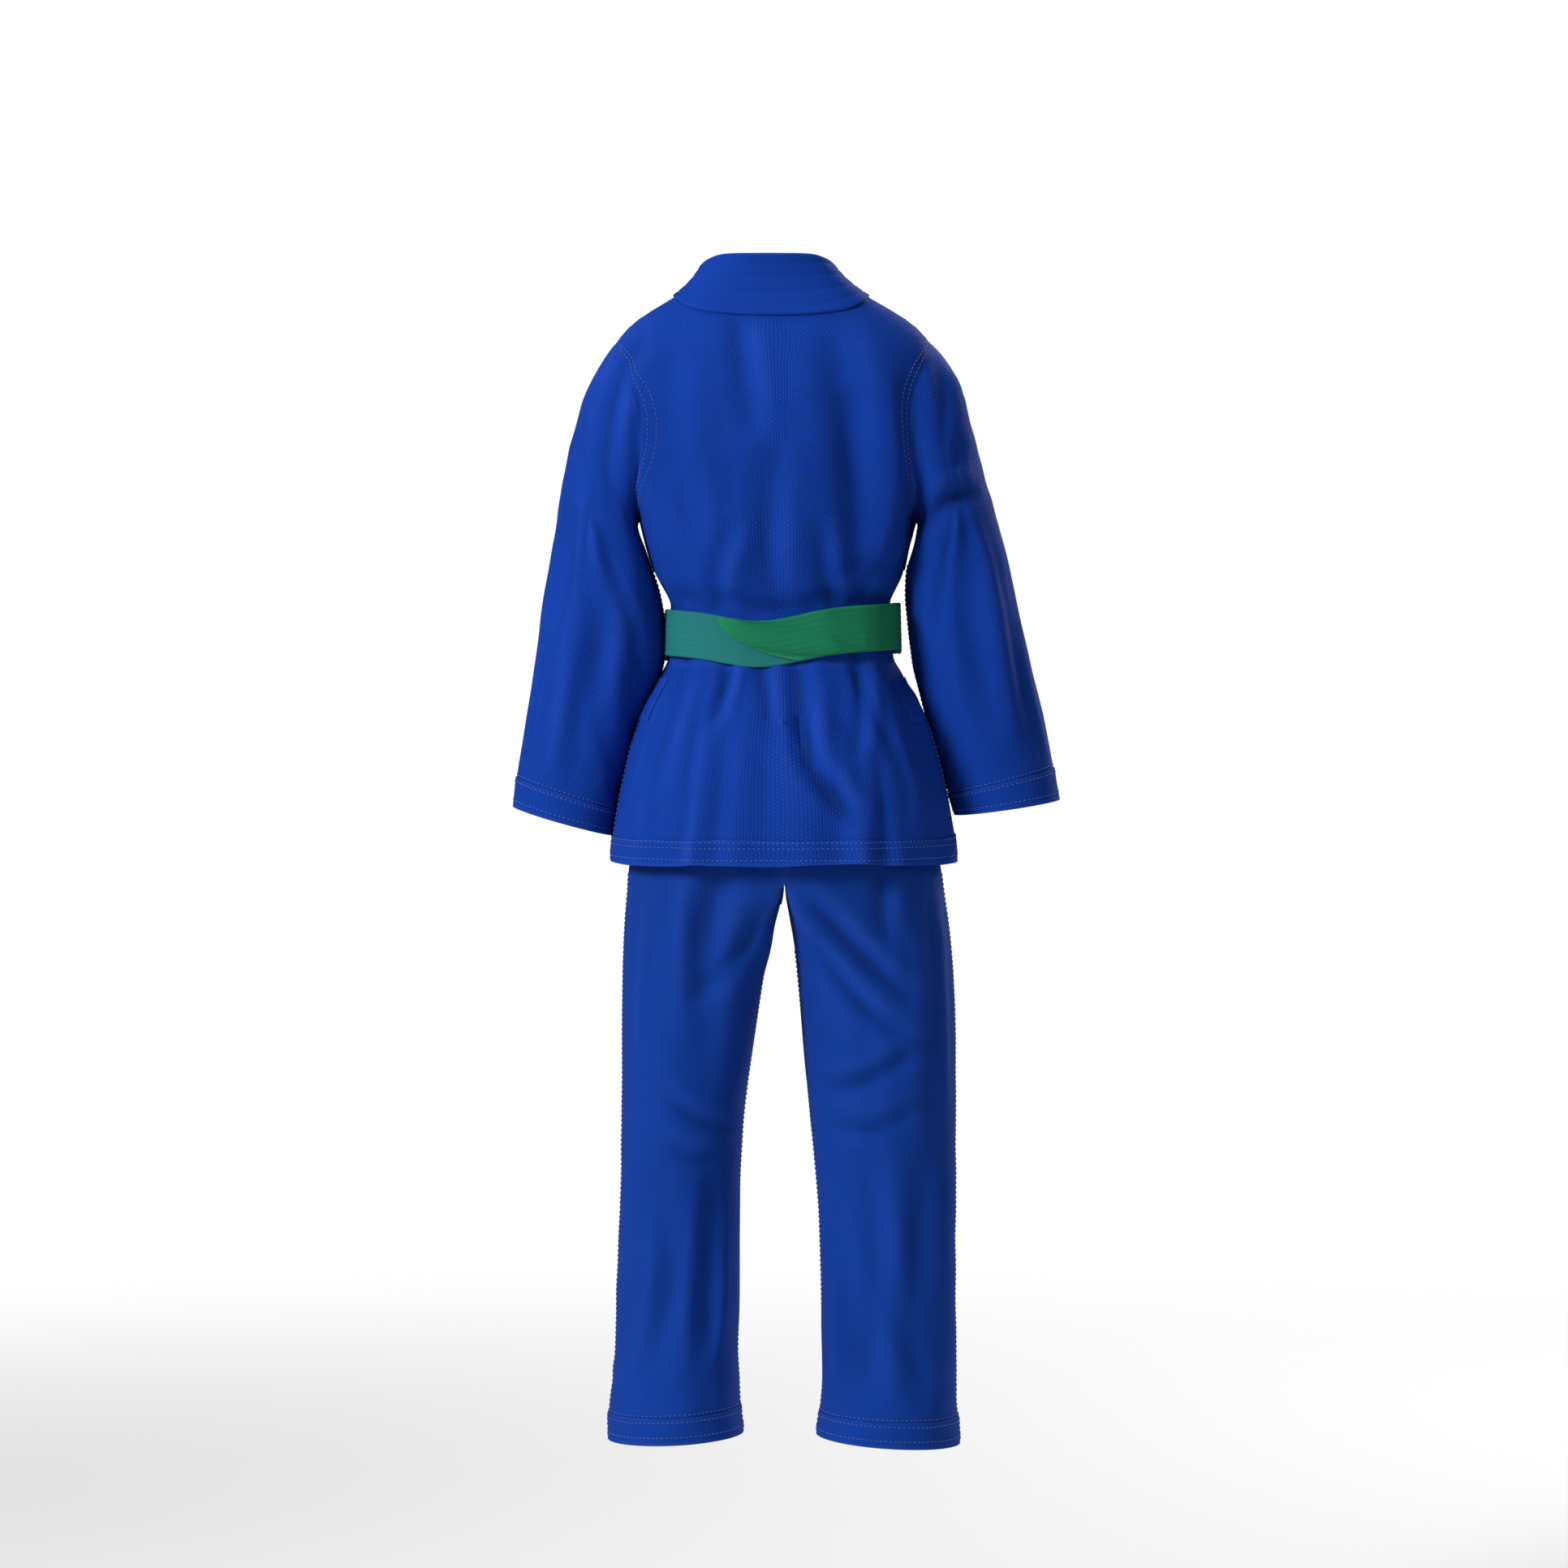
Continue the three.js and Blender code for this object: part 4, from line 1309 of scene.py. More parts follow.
def loop_band(name, side):
    """A small loop on the front of the waistband for the drawstring."""
    angle = 1.5 * math.pi + side * 0.12
    rows = []
    for s in np.linspace(0, 1, 9):
        height = TROUSER_TOP - 4 - 22 * s
        off = 3.2 + 2.6 * math.sin(math.pi * s)
        edges = [HIPS.point(angle + turn, height, off) for turn in (-0.055, 0, 0.055)]
        rows.append((*edges, np.array([0, -1.0, 0])))
    loop = Band(resampled(rows, 1.5)).build(f"tie_loop_{name}", 12, rows_relief((0.2, 0.8), 0.3, 0.06), 1.2)
    finish_piece(loop, trouser_material(), 60)
    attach(loop, "trousers")
    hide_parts(f"drawstring_loop_{name}")


# ---- Stitches ----
def stitch_tree():
    """Stitches set along lines of points that carry the cloth's outward direction."""
    tree = bpy.data.node_groups.new("stitch_rows", "GeometryNodeTree")
    face = tree.interface
    face.new_socket("Geometry", in_out="INPUT", socket_type="NodeSocketGeometry")
    for name, value in (("Spacing", 0.004), ("Stitch Length", 0.0027), ("Thread Width", 0.0009)):
        socket = face.new_socket(name, in_out="INPUT", socket_type="NodeSocketFloat")
        socket.default_value = value
    face.new_socket("Material", in_out="INPUT", socket_type="NodeSocketMaterial")
    face.new_socket("Geometry", in_out="OUTPUT", socket_type="NodeSocketGeometry")
    add, wire = tree.nodes.new, tree.links.new
    given, result = add("NodeGroupInput"), add("NodeGroupOutput")
    line = add("GeometryNodeMeshToCurve")
    even = add("GeometryNodeResampleCurve")
    even.mode = "LENGTH"
    thread = add("GeometryNodeMeshIcoSphere")
    thread.inputs["Subdivisions"].default_value = 1
    thread.inputs["Radius"].default_value = 0.5
    size = add("ShaderNodeCombineXYZ")
    outward = add("GeometryNodeInputNamedAttribute")
    outward.data_type = "FLOAT_VECTOR"
    outward.inputs["Name"].default_value = "outward"
    tangent = add("GeometryNodeInputTangent")
    upright = add("FunctionNodeAlignRotationToVector")
    upright.axis = "Z"
    turned = add("FunctionNodeAlignRotationToVector")
    turned.axis, turned.pivot_axis = "X", "Z"
    place_each = add("GeometryNodeInstanceOnPoints")
    real = add("GeometryNodeRealizeInstances")
    paint = add("GeometryNodeSetMaterial")
    wire(given.outputs["Geometry"], line.inputs["Mesh"])
    wire(line.outputs["Curve"], even.inputs["Curve"])
    wire(given.outputs["Spacing"], even.inputs["Length"])
    wire(given.outputs["Stitch Length"], size.inputs["X"])
    wire(given.outputs["Thread Width"], size.inputs["Y"])
    wire(given.outputs["Thread Width"], size.inputs["Z"])
    wire(outward.outputs["Attribute"], upright.inputs["Vector"])
    wire(upright.outputs["Rotation"], turned.inputs["Rotation"])
    wire(tangent.outputs["Tangent"], turned.inputs["Vector"])
    wire(even.outputs["Curve"], place_each.inputs["Points"])
    wire(thread.outputs["Mesh"], place_each.inputs["Instance"])
    wire(turned.outputs["Rotation"], place_each.inputs["Rotation"])
    wire(size.outputs["Vector"], place_each.inputs["Scale"])
    wire(place_each.outputs["Instances"], real.inputs["Geometry"])
    wire(real.outputs["Geometry"], paint.inputs["Geometry"])
    wire(given.outputs["Material"], paint.inputs["Material"])
    wire(paint.outputs["Geometry"], result.inputs["Geometry"])
    return tree


def stitched(name, rows, tree, sizes, material):
    """One piece that holds all the stitches of these rows, each a list of (point, outward)."""
    mesh = bpy.data.meshes.new(name)
    points, edges, outward = [], [], []
    for row in rows:
        first = len(points)
        points += [tuple(place(p)) for p, _ in row]
        outward += [n for _, n in row]
        edges += [(first + i, first + i + 1) for i in range(len(row) - 1)]
    mesh.from_pydata(points, edges, [])
    attribute = mesh.attributes.new("outward", "FLOAT_VECTOR", "POINT")
    attribute.data.foreach_set("vector", np.array(outward, np.float32).ravel())
    obj = link(bpy.data.objects.new(name, mesh))
    mod = obj.modifiers.new("stitches", "NODES")
    mod.node_group = tree
    values = {
        "Spacing": sizes.spacing, "Stitch Length": sizes.stitch_length,
        "Thread Width": sizes.thread_width, "Material": material,
    }
    for item in tree.interface.items_tree:
        if item.in_out == "INPUT" and item.name in values:
            mod[item.identifier] = values[item.name]
    baked(obj)
    obj.data.polygons.foreach_set("use_smooth", np.ones(len(obj.data.polygons), bool))
    return obj


def sewn(tree, outer, inner):
    """The point where a line from outside meets the cloth, lifted onto its surface, or None."""
    start, end = Vector(place(outer)), Vector(place(inner))
    way = end - start
    hit, normal, _, _ = tree.ray_cast(start, way.normalized(), way.length)
    if hit is None:
        return None
    normal = np.array(normal)
    if normal @ np.array(way) > 0:
        normal = -normal
    return np.array(hit) * 1000 + [0, 0, NECK_HEIGHT] + normal * STITCH_LIFT, normal


STITCH_LIFT = 0.25


def unbroken(row, longest=9.0):
    """Drops missed points, and splits the row where it jumps from one cloth to another."""
    parts, current = [], []
    for place_and_normal in row:
        jumped = current and place_and_normal and (
            np.linalg.norm(place_and_normal[0] - current[-1][0]) > longest)
        if place_and_normal is None or jumped:
            if len(current) > 2:
                parts.append(current)
            current = []
        if place_and_normal is not None:
            current.append(place_and_normal)
    if len(current) > 2:
        parts.append(current)
    return parts


def round_trunk(tree, height, a0, a1, steps=110, reach=40):
    row = []
    for angle in np.linspace(a0, a1, steps):
        row.append(sewn(tree, JACKET.point(angle, height, reach), JACKET.point(angle, height, -40)))
    return unbroken(row)


def round_limb(tree, limb, t, steps=90):
    row = []
    for angle in np.linspace(0, 2 * math.pi, steps):
        row.append(sewn(tree, limb.point(angle, t, 26), limb.point(angle, t, -30)))
    return unbroken(row)


def down_limb(tree, limb, angle, t0, t1, steps=90):
    return unbroken([
        sewn(tree, limb.point(angle, t, 26), limb.point(angle, t, -30)) for t in np.linspace(t0, t1, steps)])


def armhole_rows(tree, side):
    """Two rows beside the armhole seam, on the jacket's side of it."""
    rows = []
    for inset in (3.0, 9.0):
        for facing in (1, -1):
            row = []
            for height in np.linspace(UNDERARM - 4, SHOULDER + 4, 44):
                depth = JACKET.back(height) if facing > 0 else JACKET.front(height)
                edge = armhole_angle(depth, height) + inset / depth
                angle = facing * edge if side > 0 else math.pi - facing * edge
                row.append(sewn(tree, JACKET.point(angle, height, 22), JACKET.point(angle, height, -24)))
            rows += unbroken(row, 14.0)
    return rows


def piece_tree(*names):
    """One search tree over several finished pieces."""
    points, faces = [], []
    for name in names:
        mesh = bpy.data.objects[name].data
        first = len(points)
        points += [tuple(v) for v in coordinates(mesh)]
        faces += [[first + i for i in p.vertices] for p in mesh.polygons]
    return BVHTree.FromPolygons(points, faces)


def make_stitches(sizes):
    nodes = stitch_tree()
    thread = thread_material("thread_blue", (0.030, 0.085, 0.36, 1))
    jacket = piece_tree("jacket_back", "jacket_front_left", "jacket_front_right")
    back = piece_tree("jacket_back_skirt", "jacket_back_hem")
    front = piece_tree("jacket_front_skirt_left", "jacket_front_skirt_right",
                       "jacket_front_hem_left", "jacket_front_hem_right")
    rows = armhole_rows(jacket, 1) + armhole_rows(jacket, -1)
    body = stitched("stitches_jacket", rows, nodes, sizes, thread)
    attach(body, "jacket")
    skirts = (("back_skirt", back, 0.03, math.pi - 0.03), ("front_skirt", front, math.pi + 0.03, 2 * math.pi - 0.03))
    for name, tree, a0, a1 in skirts:
        rows = []
        for height in (SKIRT_HEM + 4, SKIRT_HEM + HEM_BAND - 3, SKIRT_HEM + HEM_BAND - 8):
            rows += round_trunk(tree, height, a0, a1, 150)
        for edge in (a0 + 0.03, a0 + 0.08, a1 - 0.03, a1 - 0.08):
            rows += unbroken([
                sewn(tree, JACKET.point(edge, h, 40), JACKET.point(edge, h, -40))
                for h in np.linspace(VENT_TOP - 4, SKIRT_HEM + 6, 50)])
        piece = stitched(f"stitches_{name}", rows, nodes, sizes, thread)
        skirt_bend(piece, name)
    for name, limb in SLEEVES.items():
        tree = piece_tree(f"jacket_sleeve_{name}", f"jacket_cuff_{name}")
        rows = []
        for t in (0.985, 0.945, 0.93):
            rows += round_limb(tree, limb, t)
        rows += down_limb(tree, limb, math.radians(-172), 0.2, 0.99)
        piece = stitched(f"stitches_sleeve_{name}", rows, nodes, sizes, thread)
        sleeve_bend(piece, name)
    for name, limb in LEGS.items():
        tree = piece_tree(f"trousers_{name}", f"trousers_hem_{name}", f"knee_{name}")
        rows = []
        for t in (0.985, 0.957, 0.944):
            rows += round_limb(tree, limb, t, 110)
        rows += down_limb(tree, limb, 0.0, 0.03, 0.99, 120) + down_limb(tree, limb, 0.06, 0.03, 0.99, 120)
        rows += down_limb(tree, limb, math.pi, 0.12, 0.99, 100)
        piece = stitched(f"stitches_leg_{name}", rows, nodes, sizes, thread)
        leg_bend(piece, name)


# ---- Finishes ----
def group(name, inputs, outputs):
    """An empty shader node group with named sockets, and its two ends."""
    tree = bpy.data.node_groups.new(name, "ShaderNodeTree")
    kinds = {"float": "NodeSocketFloat", "vector": "NodeSocketVector", "color": "NodeSocketColor"}
    for label, kind, value in inputs:
        socket = tree.interface.new_socket(label, in_out="INPUT", socket_type=kinds[kind])
        if value is not None:
            socket.default_value = value
    for label, kind in outputs:
        tree.interface.new_socket(label, in_out="OUTPUT", socket_type=kinds[kind])
    return tree, tree.nodes.new("NodeGroupInput"), tree.nodes.new("NodeGroupOutput")


def calc(tree, operation, a, b=None):
    node = tree.nodes.new("ShaderNodeMath")
    node.operation = operation
    for slot, value in zip(node.inputs, (a, b)):
        if isinstance(value, (int, float)):
            slot.default_value = value
        elif value is not None:
            tree.links.new(value, slot)
    return node.outputs[0]


def mixed(tree, share, low, high):
    """A colour between two, each a socket or a colour."""
    node = tree.nodes.new("ShaderNodeMix")
    node.data_type = "RGBA"
    slots = (node.inputs["Factor"], node.inputs[6], node.inputs[7])
    for slot, value in zip(slots, (share, low, high)):
        if isinstance(value, bpy.types.NodeSocket):
            tree.links.new(value, slot)
        else:
            slot.default_value = value
    return node.outputs[2]


def noise_of(tree, vector, scale, detail=3.0):
    node = tree.nodes.new("ShaderNodeTexNoise")
    node.inputs["Scale"].default_value = scale
    node.inputs["Detail"].default_value = detail
    tree.links.new(vector, node.inputs["Vector"])
    return node.outputs["Fac"]


def grain_weave():
    """Rice-grain weave: short raised grains in staggered rows, from places in metres on the cloth."""
    tree, given, result = group(
        "grain_weave",
        [("Place", "vector", None), ("Grain Length", "float", 0.0034), ("Grain Width", "float", 0.0019)],
        [("Height", "float"), ("Gap", "float")])
    split = tree.nodes.new("ShaderNodeSeparateXYZ")
    tree.links.new(given.outputs["Place"], split.inputs[0])
    row = calc(tree, "DIVIDE", split.outputs[0], given.outputs["Grain Width"])
    odd = calc(tree, "MODULO", calc(tree, "FLOOR", row), 2.0)
    along = calc(tree, "DIVIDE", split.outputs[1], given.outputs["Grain Length"])
    shifted = calc(tree, "ADD", along, calc(tree, "MULTIPLY", odd, 0.5))
    humps = []
    for value in (row, shifted):
        share = calc(tree, "MULTIPLY", calc(tree, "FRACT", value), math.pi)
        humps.append(calc(tree, "SINE", share))
    hump = calc(tree, "MULTIPLY", *humps)
    height = calc(tree, "POWER", hump, 0.6)
    tree.links.new(height, result.inputs["Height"])
    tree.links.new(calc(tree, "SUBTRACT", 1.0, height), result.inputs["Gap"])
    return tree


def twill_weave():
    """Fine diagonal ribs of a drill cloth."""
    tree, given, result = group(
        "twill_weave", [("Place", "vector", None), ("Rib", "float", 0.0011)], [("Height", "float"), ("Gap", "float")])
    split = tree.nodes.new("ShaderNodeSeparateXYZ")
    tree.links.new(given.outputs["Place"], split.inputs[0])
    slant = calc(tree, "ADD", split.outputs[0], split.outputs[1])
    turn = calc(tree, "MULTIPLY", calc(tree, "DIVIDE", slant, given.outputs["Rib"]), 2 * math.pi)
    cross = calc(tree, "DIVIDE", calc(tree, "SUBTRACT", split.outputs[0], split.outputs[1]), given.outputs["Rib"])
    ribs = calc(tree, "ADD", calc(tree, "MULTIPLY", calc(tree, "SINE", turn), 0.5), 0.5)
    threads = calc(tree, "SINE", calc(tree, "MULTIPLY", cross, 4 * math.pi))
    height = calc(tree, "ADD", calc(tree, "MULTIPLY", ribs, 0.8), calc(tree, "MULTIPLY", threads, 0.12))
    tree.links.new(height, result.inputs["Height"])
    tree.links.new(calc(tree, "SUBTRACT", 1.0, height), result.inputs["Gap"])
    return tree


def dye_wear_and_painted_shade():
    """Dyed cotton with painted shade: darker in hollows and between threads, paler on crests from wear and painted
    highlight, slightly clouded.
    """
    tree, given, result = group(
        "dye_wear_and_painted_shade",
        [("Place", "vector", None), ("Colour", "color", None), ("Deep", "color", None), ("Pale", "color", None),
         ("Crest", "float", 0.5), ("Gap", "float", 0.0), ("Wear", "float", 0.5)],
        [("Colour", "color"), ("Roughness", "float")])
    out = given.outputs
    cloud = noise_of(tree, out["Place"], 9.0, 4.0)
    fleck = noise_of(tree, out["Place"], 260.0, 2.0)
    # Painted shade: darker in the cloth's hollows, which the crest attribute marks, and in the gaps between the weave's
    # threads; random clouding of the dye is added to it.
    painted_hollow_shade = calc(tree, "MULTIPLY", calc(tree, "SUBTRACT", 0.5, out["Crest"]), 1.2)
    dark_tone_and_shade = calc(tree, "ADD", calc(tree, "MAXIMUM", painted_hollow_shade, 0.0), calc(tree, "MULTIPLY", out["Gap"], 0.45))
    shade_and_cloud = calc(tree, "ADD", dark_tone_and_shade, calc(tree, "MULTIPLY", calc(tree, "SUBTRACT", cloud, 0.5), 0.5))
    darker = mixed(tree, calc(tree, "MINIMUM", calc(tree, "MAXIMUM", shade_and_cloud, 0.0), 0.9), out["Colour"], out["Deep"])
    # Paler on crests: part rubbed wear, part painted highlight; the flecks and specks add random paler tone.
    crest = calc(tree, "MAXIMUM", calc(tree, "SUBTRACT", out["Crest"], 0.6), 0.0)
    rubbed_and_highlit = calc(tree, "MULTIPLY", calc(tree, "MULTIPLY", crest, 1.4), out["Wear"])
    flecked = calc(tree, "MULTIPLY", rubbed_and_highlit, calc(tree, "ADD", fleck, 0.45))
    speck = calc(tree, "MULTIPLY", calc(tree, "MAXIMUM", calc(tree, "SUBTRACT", fleck, 0.62), 0.0), 0.3)
    pale = calc(tree, "MINIMUM", calc(tree, "ADD", flecked, speck), 0.8)
    tree.links.new(mixed(tree, pale, darker, out["Pale"]), result.inputs["Colour"])
    rough = calc(tree, "ADD", calc(tree, "MULTIPLY", cloud, 0.12), 0.78)
    tree.links.new(rough, result.inputs["Roughness"])
    return tree


def shared(name):
    """A shared node group, built on first use."""
    builders = {"grain_weave": grain_weave, "twill_weave": twill_weave, "dye_wear_and_painted_shade": dye_wear_and_painted_shade}
    return bpy.data.node_groups.get(name) or builders[name]()


def cloth_material(name, weave, colours, wear_and_highlight, relief, sheen, scales):
    """Cotton with a weave group, dye, wear and painted shade and highlight; colours are its own, a darker one for
    painted shade and darker tone, and its pale shade.
    """
    found = bpy.data.materials.get(name)
    if found:
        return found
    material = bpy.data.materials.new(name)
    material.use_nodes = True
    tree = material.node_tree
    shader = tree.nodes["Principled BSDF"]
    shader.inputs["Sheen Weight"].default_value = sheen
    shader.inputs["Sheen Roughness"].default_value = 0.45
    shader.inputs["Sheen Tint"].default_value = colours[2]
    shader.inputs["Specular IOR Level"].default_value = 0.12
    cloth = tree.nodes.new("ShaderNodeUVMap")
    cloth.uv_map = "cloth"
    where = tree.nodes.new("ShaderNodeTexCoord")
    crest = tree.nodes.new("ShaderNodeAttribute")
    crest.attribute_name = "crest"
    woven = tree.nodes.new("ShaderNodeGroup")
    woven.node_tree = shared(weave)
    tree.links.new(cloth.outputs["UV"], woven.inputs["Place"])
    for label, value in scales.items():
        woven.inputs[label].default_value = value
    dye = tree.nodes.new("ShaderNodeGroup")
    dye.node_tree = shared("dye_wear_and_painted_shade")
    for label, value in zip(("Colour", "Deep", "Pale"), colours):
        dye.inputs[label].default_value = value
    dye.inputs["Wear"].default_value = wear_and_highlight
    tree.links.new(where.outputs["Object"], dye.inputs["Place"])
    # The crest attribute and the weave's gaps steer the painted shade in hollows and between threads, and the painted
    # highlight with wear on crests.
    tree.links.new(crest.outputs["Fac"], dye.inputs["Crest"])
    tree.links.new(woven.outputs["Gap"], dye.inputs["Gap"])
    bump = tree.nodes.new("ShaderNodeBump")
    bump.inputs["Strength"].default_value = 0.7
    bump.inputs["Distance"].default_value = relief
    tree.links.new(woven.outputs["Height"], bump.inputs["Height"])
    tree.links.new(dye.outputs["Colour"], shader.inputs["Base Color"])
    tree.links.new(dye.outputs["Roughness"], shader.inputs["Roughness"])
    tree.links.new(bump.outputs["Normal"], shader.inputs["Normal"])
    return material


def shades(colour, dark_tone_and_shade=0.4, pale=0.25):
    """A dye's own colour, a darker one for painted shade and darker tone, and a pale one."""
    own = tuple(colour[:3])
    low = tuple(c * dark_tone_and_shade for c in own)
    high = tuple(c * (1 + pale) + 0.08 * pale for c in own)
    return [(*own, 1), (*low, 1), (*high, 1)]


def jacket_material():
    sizes = bpy.context.scene.uniform_jacket
    return cloth_material("jacket_cotton", "grain_weave", shades(sizes.colour), 0.45, 0.0006, 0.05,
                          {"Grain Length": sizes.grain, "Grain Width": sizes.grain * 0.56})


def collar_material():
    sizes = bpy.context.scene.uniform_jacket
    return cloth_material("collar_cotton", "twill_weave", shades(sizes.colour, 0.5), 0.5, 0.0003, 0.05, {"Rib": 0.0012})


def trouser_material():
    sizes = bpy.context.scene.uniform_trousers
    return cloth_material("trouser_drill", "twill_weave", shades(sizes.colour), 0.4, 0.00025, 0.05, {"Rib": 0.0011})


def belt_material(wrap):
    sizes = bpy.context.scene.uniform_belt
    colour = sizes.colour if wrap == "second" else sizes.faded
    return cloth_material(f"belt_cotton_{wrap}", "twill_weave", shades(colour, 0.5), 0.6, 0.0003, 0.06, {"Rib": 0.0014})


def thread_material(name, colour):
    material = bpy.data.materials.new(name)
    material.use_nodes = True
    tree = material.node_tree
    shader = tree.nodes["Principled BSDF"]
    shader.inputs["Sheen Weight"].default_value = 0.2
    where = tree.nodes.new("ShaderNodeTexCoord")
    own, dark_tone_and_shade, pale = shades(colour, 0.6, 0.2)
    twist = noise_of(tree, where.outputs["Object"], 900.0, 1.0)
    tree.links.new(mixed(tree, twist, dark_tone_and_shade, pale), shader.inputs["Base Color"])
    rough = calc(tree, "ADD", calc(tree, "MULTIPLY", twist, 0.2), 0.55)
    tree.links.new(rough, shader.inputs["Roughness"])
    return material


# ---- Stage ----
FLOOR_RADIUS = 3.6
FLOOR_HEIGHT = -1.28


def floor_material():
    """Pale paper that fades out towards its rim."""
    material = bpy.data.materials.new("studio_paper")
    material.use_nodes = True
    tree = material.node_tree
    shader = tree.nodes["Principled BSDF"]
    shader.inputs["Base Color"].default_value = (0.80, 0.80, 0.795, 1)
    shader.inputs["Roughness"].default_value = 0.9
    where = tree.nodes.new("ShaderNodeTexCoord")
    away = tree.nodes.new("ShaderNodeVectorMath")
    away.operation = "LENGTH"
    flat = tree.nodes.new("ShaderNodeVectorMath")
    flat.operation = "MULTIPLY"
    flat.inputs[1].default_value = (1, 1, 0)
    tree.links.new(where.outputs["Object"], flat.inputs[0])
    tree.links.new(flat.outputs[0], away.inputs[0])
    fade = tree.nodes.new("ShaderNodeMapRange")
    fade.interpolation_type = "SMOOTHSTEP"
    for label, value in (("From Min", 1.3), ("From Max", 3.3), ("To Min", 1.0), ("To Max", 0.0)):
        fade.inputs[label].default_value = value
    tree.links.new(away.outputs["Value"], fade.inputs["Value"])
    tree.links.new(fade.outputs["Result"], shader.inputs["Alpha"])
    return material


def make_stage(sizes):
    """A pale floor that fades out into the pale surroundings, soft lights and the camera."""
    turn = [2 * math.pi * k / 96 for k in range(96)]
    mesh = bpy.data.meshes.new("studio_floor")
    rim = [(FLOOR_RADIUS * math.cos(a), FLOOR_RADIUS * math.sin(a), FLOOR_HEIGHT) for a in turn]
    mesh.from_pydata(rim, [], [list(range(96))])
    floor = link(bpy.data.objects.new("studio_floor", mesh))
    mesh.materials.append(floor_material())
    world = bpy.data.worlds.new("studio_air")
    world.use_nodes = True
    tree = world.node_tree
    air = tree.nodes["Background"]
    air.inputs["Color"].default_value = (1, 1, 1, 1)
    rays = tree.nodes.new("ShaderNodeLightPath")
    seen = calc(tree, "MULTIPLY", rays.outputs["Is Camera Ray"], 1 - sizes.air)
    tree.links.new(calc(tree, "ADD", seen, sizes.air), air.inputs["Strength"])
    bpy.context.scene.world = world
    for name, place_at, size, power in (
        ("key", (3.2, 2.7, 1.5), 1.3, sizes.key), ("fill", (-2.4, 3.2, 0.4), 2.2, sizes.key * 0.10),
        ("front", (-1.8, -2.8, 1.2), 1.4, sizes.key * 0.45), ("top", (0.3, 0.2, 2.4), 1.6, sizes.key * 0.12),
    ):
        light = bpy.data.lights.new(name, "AREA")
        light.energy = power
        light.size = size
        lamp = link(bpy.data.objects.new(name, light))
        lamp.location = place_at
        aim = Vector((0, 0, -0.45)) - lamp.location
        lamp.rotation_euler = aim.to_track_quat("-Z", "Y").to_euler()

    camera = bpy.data.cameras.new("camera")
    eye = link(bpy.data.objects.new("camera", camera))
    target = Vector((0, 0, sizes.aim))
    eye.location = target + Vector((0, sizes.distance, sizes.distance * math.tan(sizes.tilt)))
    aim = target - eye.location
    eye.rotation_euler = aim.to_track_quat("-Z", "Y").to_euler()
    camera.lens = camera.sensor_width * aim.length / sizes.frame_width
    bpy.context.scene.camera = eye
    bpy.context.scene.view_settings.view_transform = "Standard"


# ---- What a user may change ----
def length(name, description, default, low, high):
    return bpy.props.FloatProperty(
        name=name, description=description, default=default, min=low, max=high, subtype="DISTANCE",
        unit="LENGTH", precision=4)


def ratio(name, description, default, low, high):
    return bpy.props.FloatProperty(name=name, description=description, default=default, min=low, max=high)


def dye_colour(name, default):
    return bpy.props.FloatVectorProperty(
        name=name, description="Linear colour of the dye", default=default, min=0, max=1, size=3, subtype="COLOR")


def settle_frames(default):
    return bpy.props.IntProperty(
        name="Settling", description="Frames that the cloth is left to settle", default=default, min=0, max=80)


def finer_levels():
    return bpy.props.IntProperty(
        name="Finer", description="Subdivisions of the settled cloth", default=1, min=1, max=2)


class UniformJacket(bpy.types.PropertyGroup):
    pitch: length("Net pitch", "Distance between the net's points", 0.0085, 0.006, 0.03)
    columns: bpy.props.IntProperty(name="Columns", description="Net columns on each half", default=40, min=16, max=80)
    thickness: length("Thickness", "Thickness of the jacket's cloth", 0.0022, 0.001, 0.004)
    slack_length: ratio("Spare length", "How much longer the cloth is cut than it is worn", 1.035, 1.0, 1.1)
    slack_width: ratio("Spare width", "Millimetres that the cloth is cut wider all round", 3.0, 0.0, 12.0)
    slack_sleeve: ratio("Spare sleeve", "How much longer the sleeves are cut", 1.045, 1.0, 1.1)
    grain: length("Grain", "Length of one grain of the weave", 0.0034, 0.002, 0.006)
    frames: settle_frames(26)
    levels: finer_levels()
    colour: dye_colour("Jacket colour", (0.0018, 0.043, 0.35))


class UniformTrousers(bpy.types.PropertyGroup):
    pitch: length("Net pitch", "Distance between the net's points", 0.0085, 0.006, 0.03)
    slack_length: ratio("Spare length", "How much longer the cloth is cut than it is worn", 1.03, 1.0, 1.1)
    slack_width: ratio("Spare width", "Millimetres that the legs are cut wider all round", 3.0, 0.0, 12.0)
    slack_leg: ratio("Spare leg", "How much longer the legs are cut", 1.012, 1.0, 1.1)
    frames: settle_frames(26)
    levels: finer_levels()
    colour: dye_colour("Trouser colour", (0.0018, 0.044, 0.33))


class UniformBelt(bpy.types.PropertyGroup):
    colour: dye_colour("Belt colour", (0.010, 0.21, 0.095))
    faded: dye_colour("Faded belt colour", (0.016, 0.19, 0.185))


class UniformStitches(bpy.types.PropertyGroup):
    spacing: length("Spacing", "From one stitch to the next", 0.0042, 0.002, 0.01)
    stitch_length: length("Stitch length", "Length of thread that shows", 0.003, 0.001, 0.008)
    thread_width: length("Thread width", "Thickness of the thread", 0.0009, 0.0004, 0.002)


